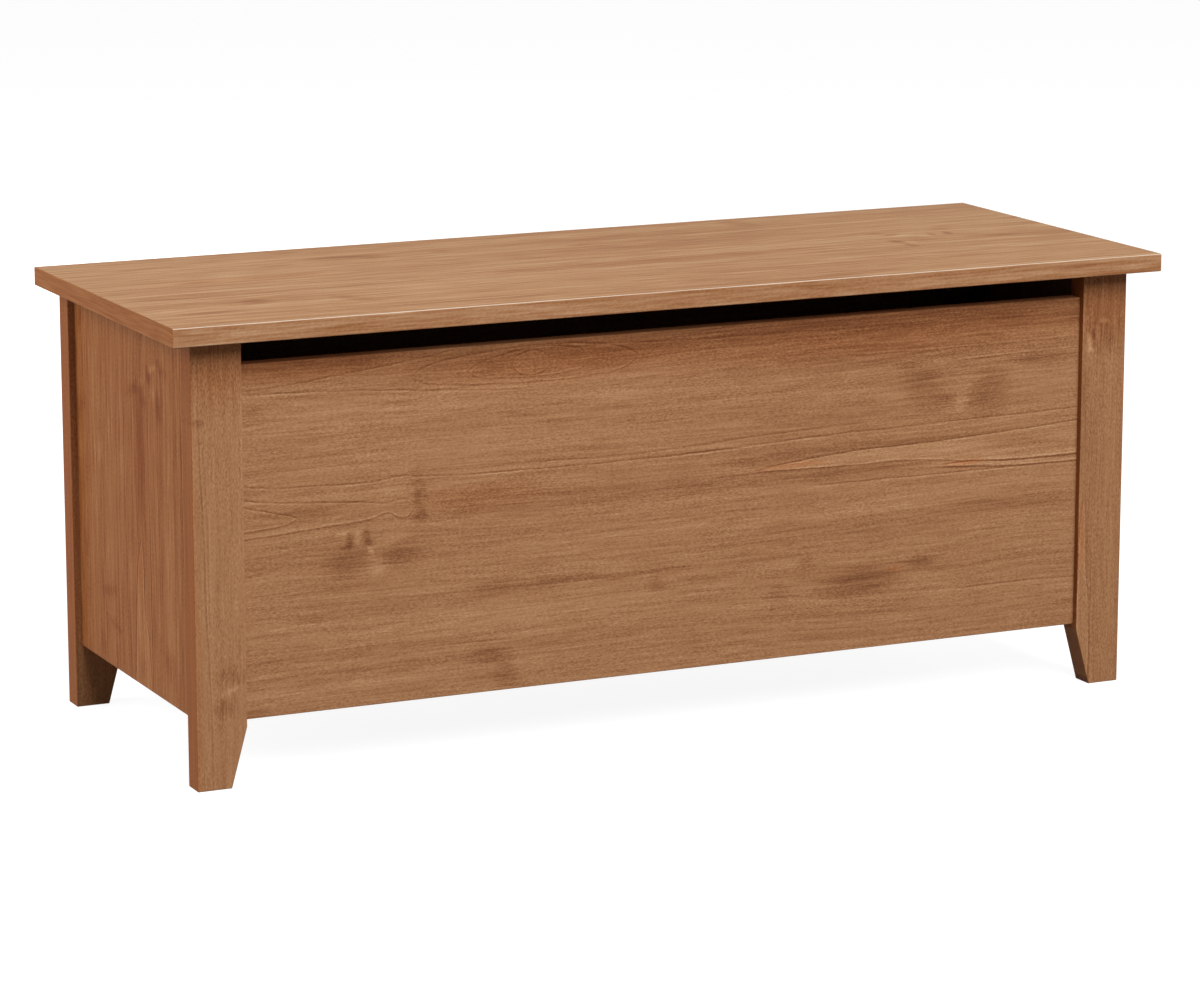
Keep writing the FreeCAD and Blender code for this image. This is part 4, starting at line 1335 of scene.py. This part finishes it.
def spiral_ridge(shape, core, crest, start, end, pitch):
    """A thread of triangular section round a core."""
    turns = int((end - start) / pitch)
    profile = [(core, 0), (crest, 0.28), (core, 0.56)]
    corners = [shape.verts.new((radius, 0, start + part * pitch)) for radius, part in profile]
    edges = [shape.edges.new(corners[:2]), shape.edges.new(corners[1:])]
    climb = (0, 0, pitch / STEPS_EACH_TURN)
    around = radians(360 * turns)
    steps = STEPS_EACH_TURN * turns
    bmesh.ops.spin(
        shape, geom=corners + edges, cent=(0, 0, 0), axis=(0, 0, 1), dvec=climb, angle=around, steps=steps
    )


def wood_screw(head, shank, length):
    """A countersunk screw with its head at 0 and its tip along +Z, all radii and lengths in metres."""
    shape = bmesh.new()
    bmesh.ops.create_circle(shape, segments=HEAD_SIDES, radius=head * 0.94)
    rim_edges = list(shape.edges)
    mouth = driver_cross(shape, reach=head * 0.58, width=head * 0.11, depth=head * 0.6)
    bmesh.ops.triangle_fill(shape, use_beauty=True, edges=rim_edges + mouth)
    cone = head - shank
    core = shank * 0.68
    tip = length - 2 * shank
    stations = [(head, head * 0.06), (shank, cone), (shank * 0.92, cone + shank), (core, cone + shank * 1.3)]
    stations += [(core, tip), (core * 0.5, length - shank * 0.6), (core * 0.12, length)]
    last = lathed(shape, rim_edges, stations)
    bmesh.ops.edgeloop_fill(shape, edges=last)
    thread_start = cone + shank * 1.2
    spiral_ridge(shape, core * 0.97, crest=shank, start=thread_start, end=tip, pitch=shank * 0.9)
    bmesh.ops.recalc_face_normals(shape, faces=shape.faces)
    return shape


sample = wood_screw(head=0.0038, shank=0.002, length=0.032)
print("a screw has", len(sample.faces), "faces")
sample.free()

# %% [markdown]
# ## Screws in their holes
# The finished screw is copied to each solid's place, and all screws of one node become one piece that
# rides on the same body. The piece stands for the CAD node, which stays in the scene, hidden. A screw's
# shank is given as a share of its head, both as diameters in millimetres, because the head's size is
# measured.

# %% Copy a piece to each place
SHARP_ANGLE = radians(35)


def body_of_node(node_name):
    """The body that a CAD node rides on."""
    for body, members in frame["record"]["behaviour"]["bodies"].items():
        if node_name in members:
            return body


def stands_for(shape, node_name, finish):
    """Makes a mesh piece from a shape, in place of a CAD node and on its body."""
    mesh = bpy.data.meshes.new(node_name + "_detailed")
    shape.to_mesh(mesh)
    shape.free()
    mesh.shade_smooth()
    mesh.set_sharp_from_angle(angle=SHARP_ANGLE)
    mesh.materials.append(finish)
    piece = bpy.data.objects.new(node_name + "_detailed", mesh)
    bpy.context.scene.collection.objects.link(piece)
    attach(piece, body_of_node(node_name))
    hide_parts(node_name)
    return piece


def copied_to(solids, make):
    """One shape with a copy of a made piece at each solid's place."""
    gathered = bmesh.new()
    for points in solids:
        place, length, head = seat(points)
        single = make(head, length)
        bmesh.ops.transform(single, matrix=place, verts=single.verts)
        holder = bpy.data.meshes.new("single")
        single.to_mesh(holder)
        single.free()
        gathered.from_mesh(holder)
        bpy.data.meshes.remove(holder)
    return gathered


print("batten screws ride on", body_of_node("batten_screws"))

# %% Replace the plain screws
SHANK_SHARE = {
    "batten_screws": 4.0 / 7.6,
    "hinge_carcass_screws": 3.2 / 6.0,
    "hinge_lid_screws": 3.2 / 6.0,
    "stay_carcass_screws": 3.5 / 7.0,
    "stay_lid_screws": 3.5 / 7.0,
}
for node_name, share in SHANK_SHARE.items():
    screws = copied_to(islands(node_name), lambda head, length: wood_screw(head, head * share, length))
    piece = stands_for(screws, node_name, finish_of["screw_steel"])
    print(piece.name, len(piece.data.polygons), "faces")

# %% [markdown]
# ## Fluted dowels
# Beech dowels have small flutes so that glue and air can escape, and chamfered ends that find the hole.
# The flutes are made by pulling in every other point of a circle before it is extruded.

# %% Replace the plain dowels
FLUTES = 20
FLUTE_BOTTOM = 0.94
DOWEL_RADIUS = 0.004
CHAMFER = 0.0008


def fluted_dowel(length):
    """A dowel from 0 along +Z, with flutes and chamfered ends."""
    shape = bmesh.new()
    ring = bmesh.ops.create_circle(shape, segments=FLUTES * 2, radius=DOWEL_RADIUS)["verts"]
    for vertex in ring[1::2]:
        vertex.co.xy *= FLUTE_BOTTOM
    start = list(shape.edges)
    narrow = DOWEL_RADIUS - CHAMFER
    stations = [(DOWEL_RADIUS, CHAMFER), (DOWEL_RADIUS, length - CHAMFER), (narrow, length)]
    end = lathed(shape, start, stations)
    for vertex in ring:
        vertex.co.xy *= narrow / DOWEL_RADIUS
    bmesh.ops.edgeloop_fill(shape, edges=start)
    bmesh.ops.edgeloop_fill(shape, edges=end)
    bmesh.ops.recalc_face_normals(shape, faces=shape.faces)
    return shape


def beech():
    """Pale beech with small dark flecks."""
    finish, tree, shader = new_finish("dowel_beech")
    place = in_millimetres(tree)
    clouds = mottle(place, 2, 6)
    flecks = mottle(place, 2, 0.7)
    tones = ((0.25, (0.42, 0.27, 0.14)), (0.5, (0.62, 0.46, 0.29)), (0.8, (0.72, 0.57, 0.39)))
    feed(shader.inputs["Base Color"], ramp(clouds * 0.6 + flecks + MIDDLE_TONE, tones))
    feed(shader.inputs["Roughness"], flecks * 0.3 + 0.6)
    relief(shader, flecks, 0.05)
    return finish


fluted = copied_to(islands("wooden_dowels"), lambda head, length: fluted_dowel(length))
dowels = stands_for(fluted, "wooden_dowels", beech())
print(dowels.name, len(dowels.data.polygons), "faces")

# %% [markdown]
# ## The end

# %% The end
import json
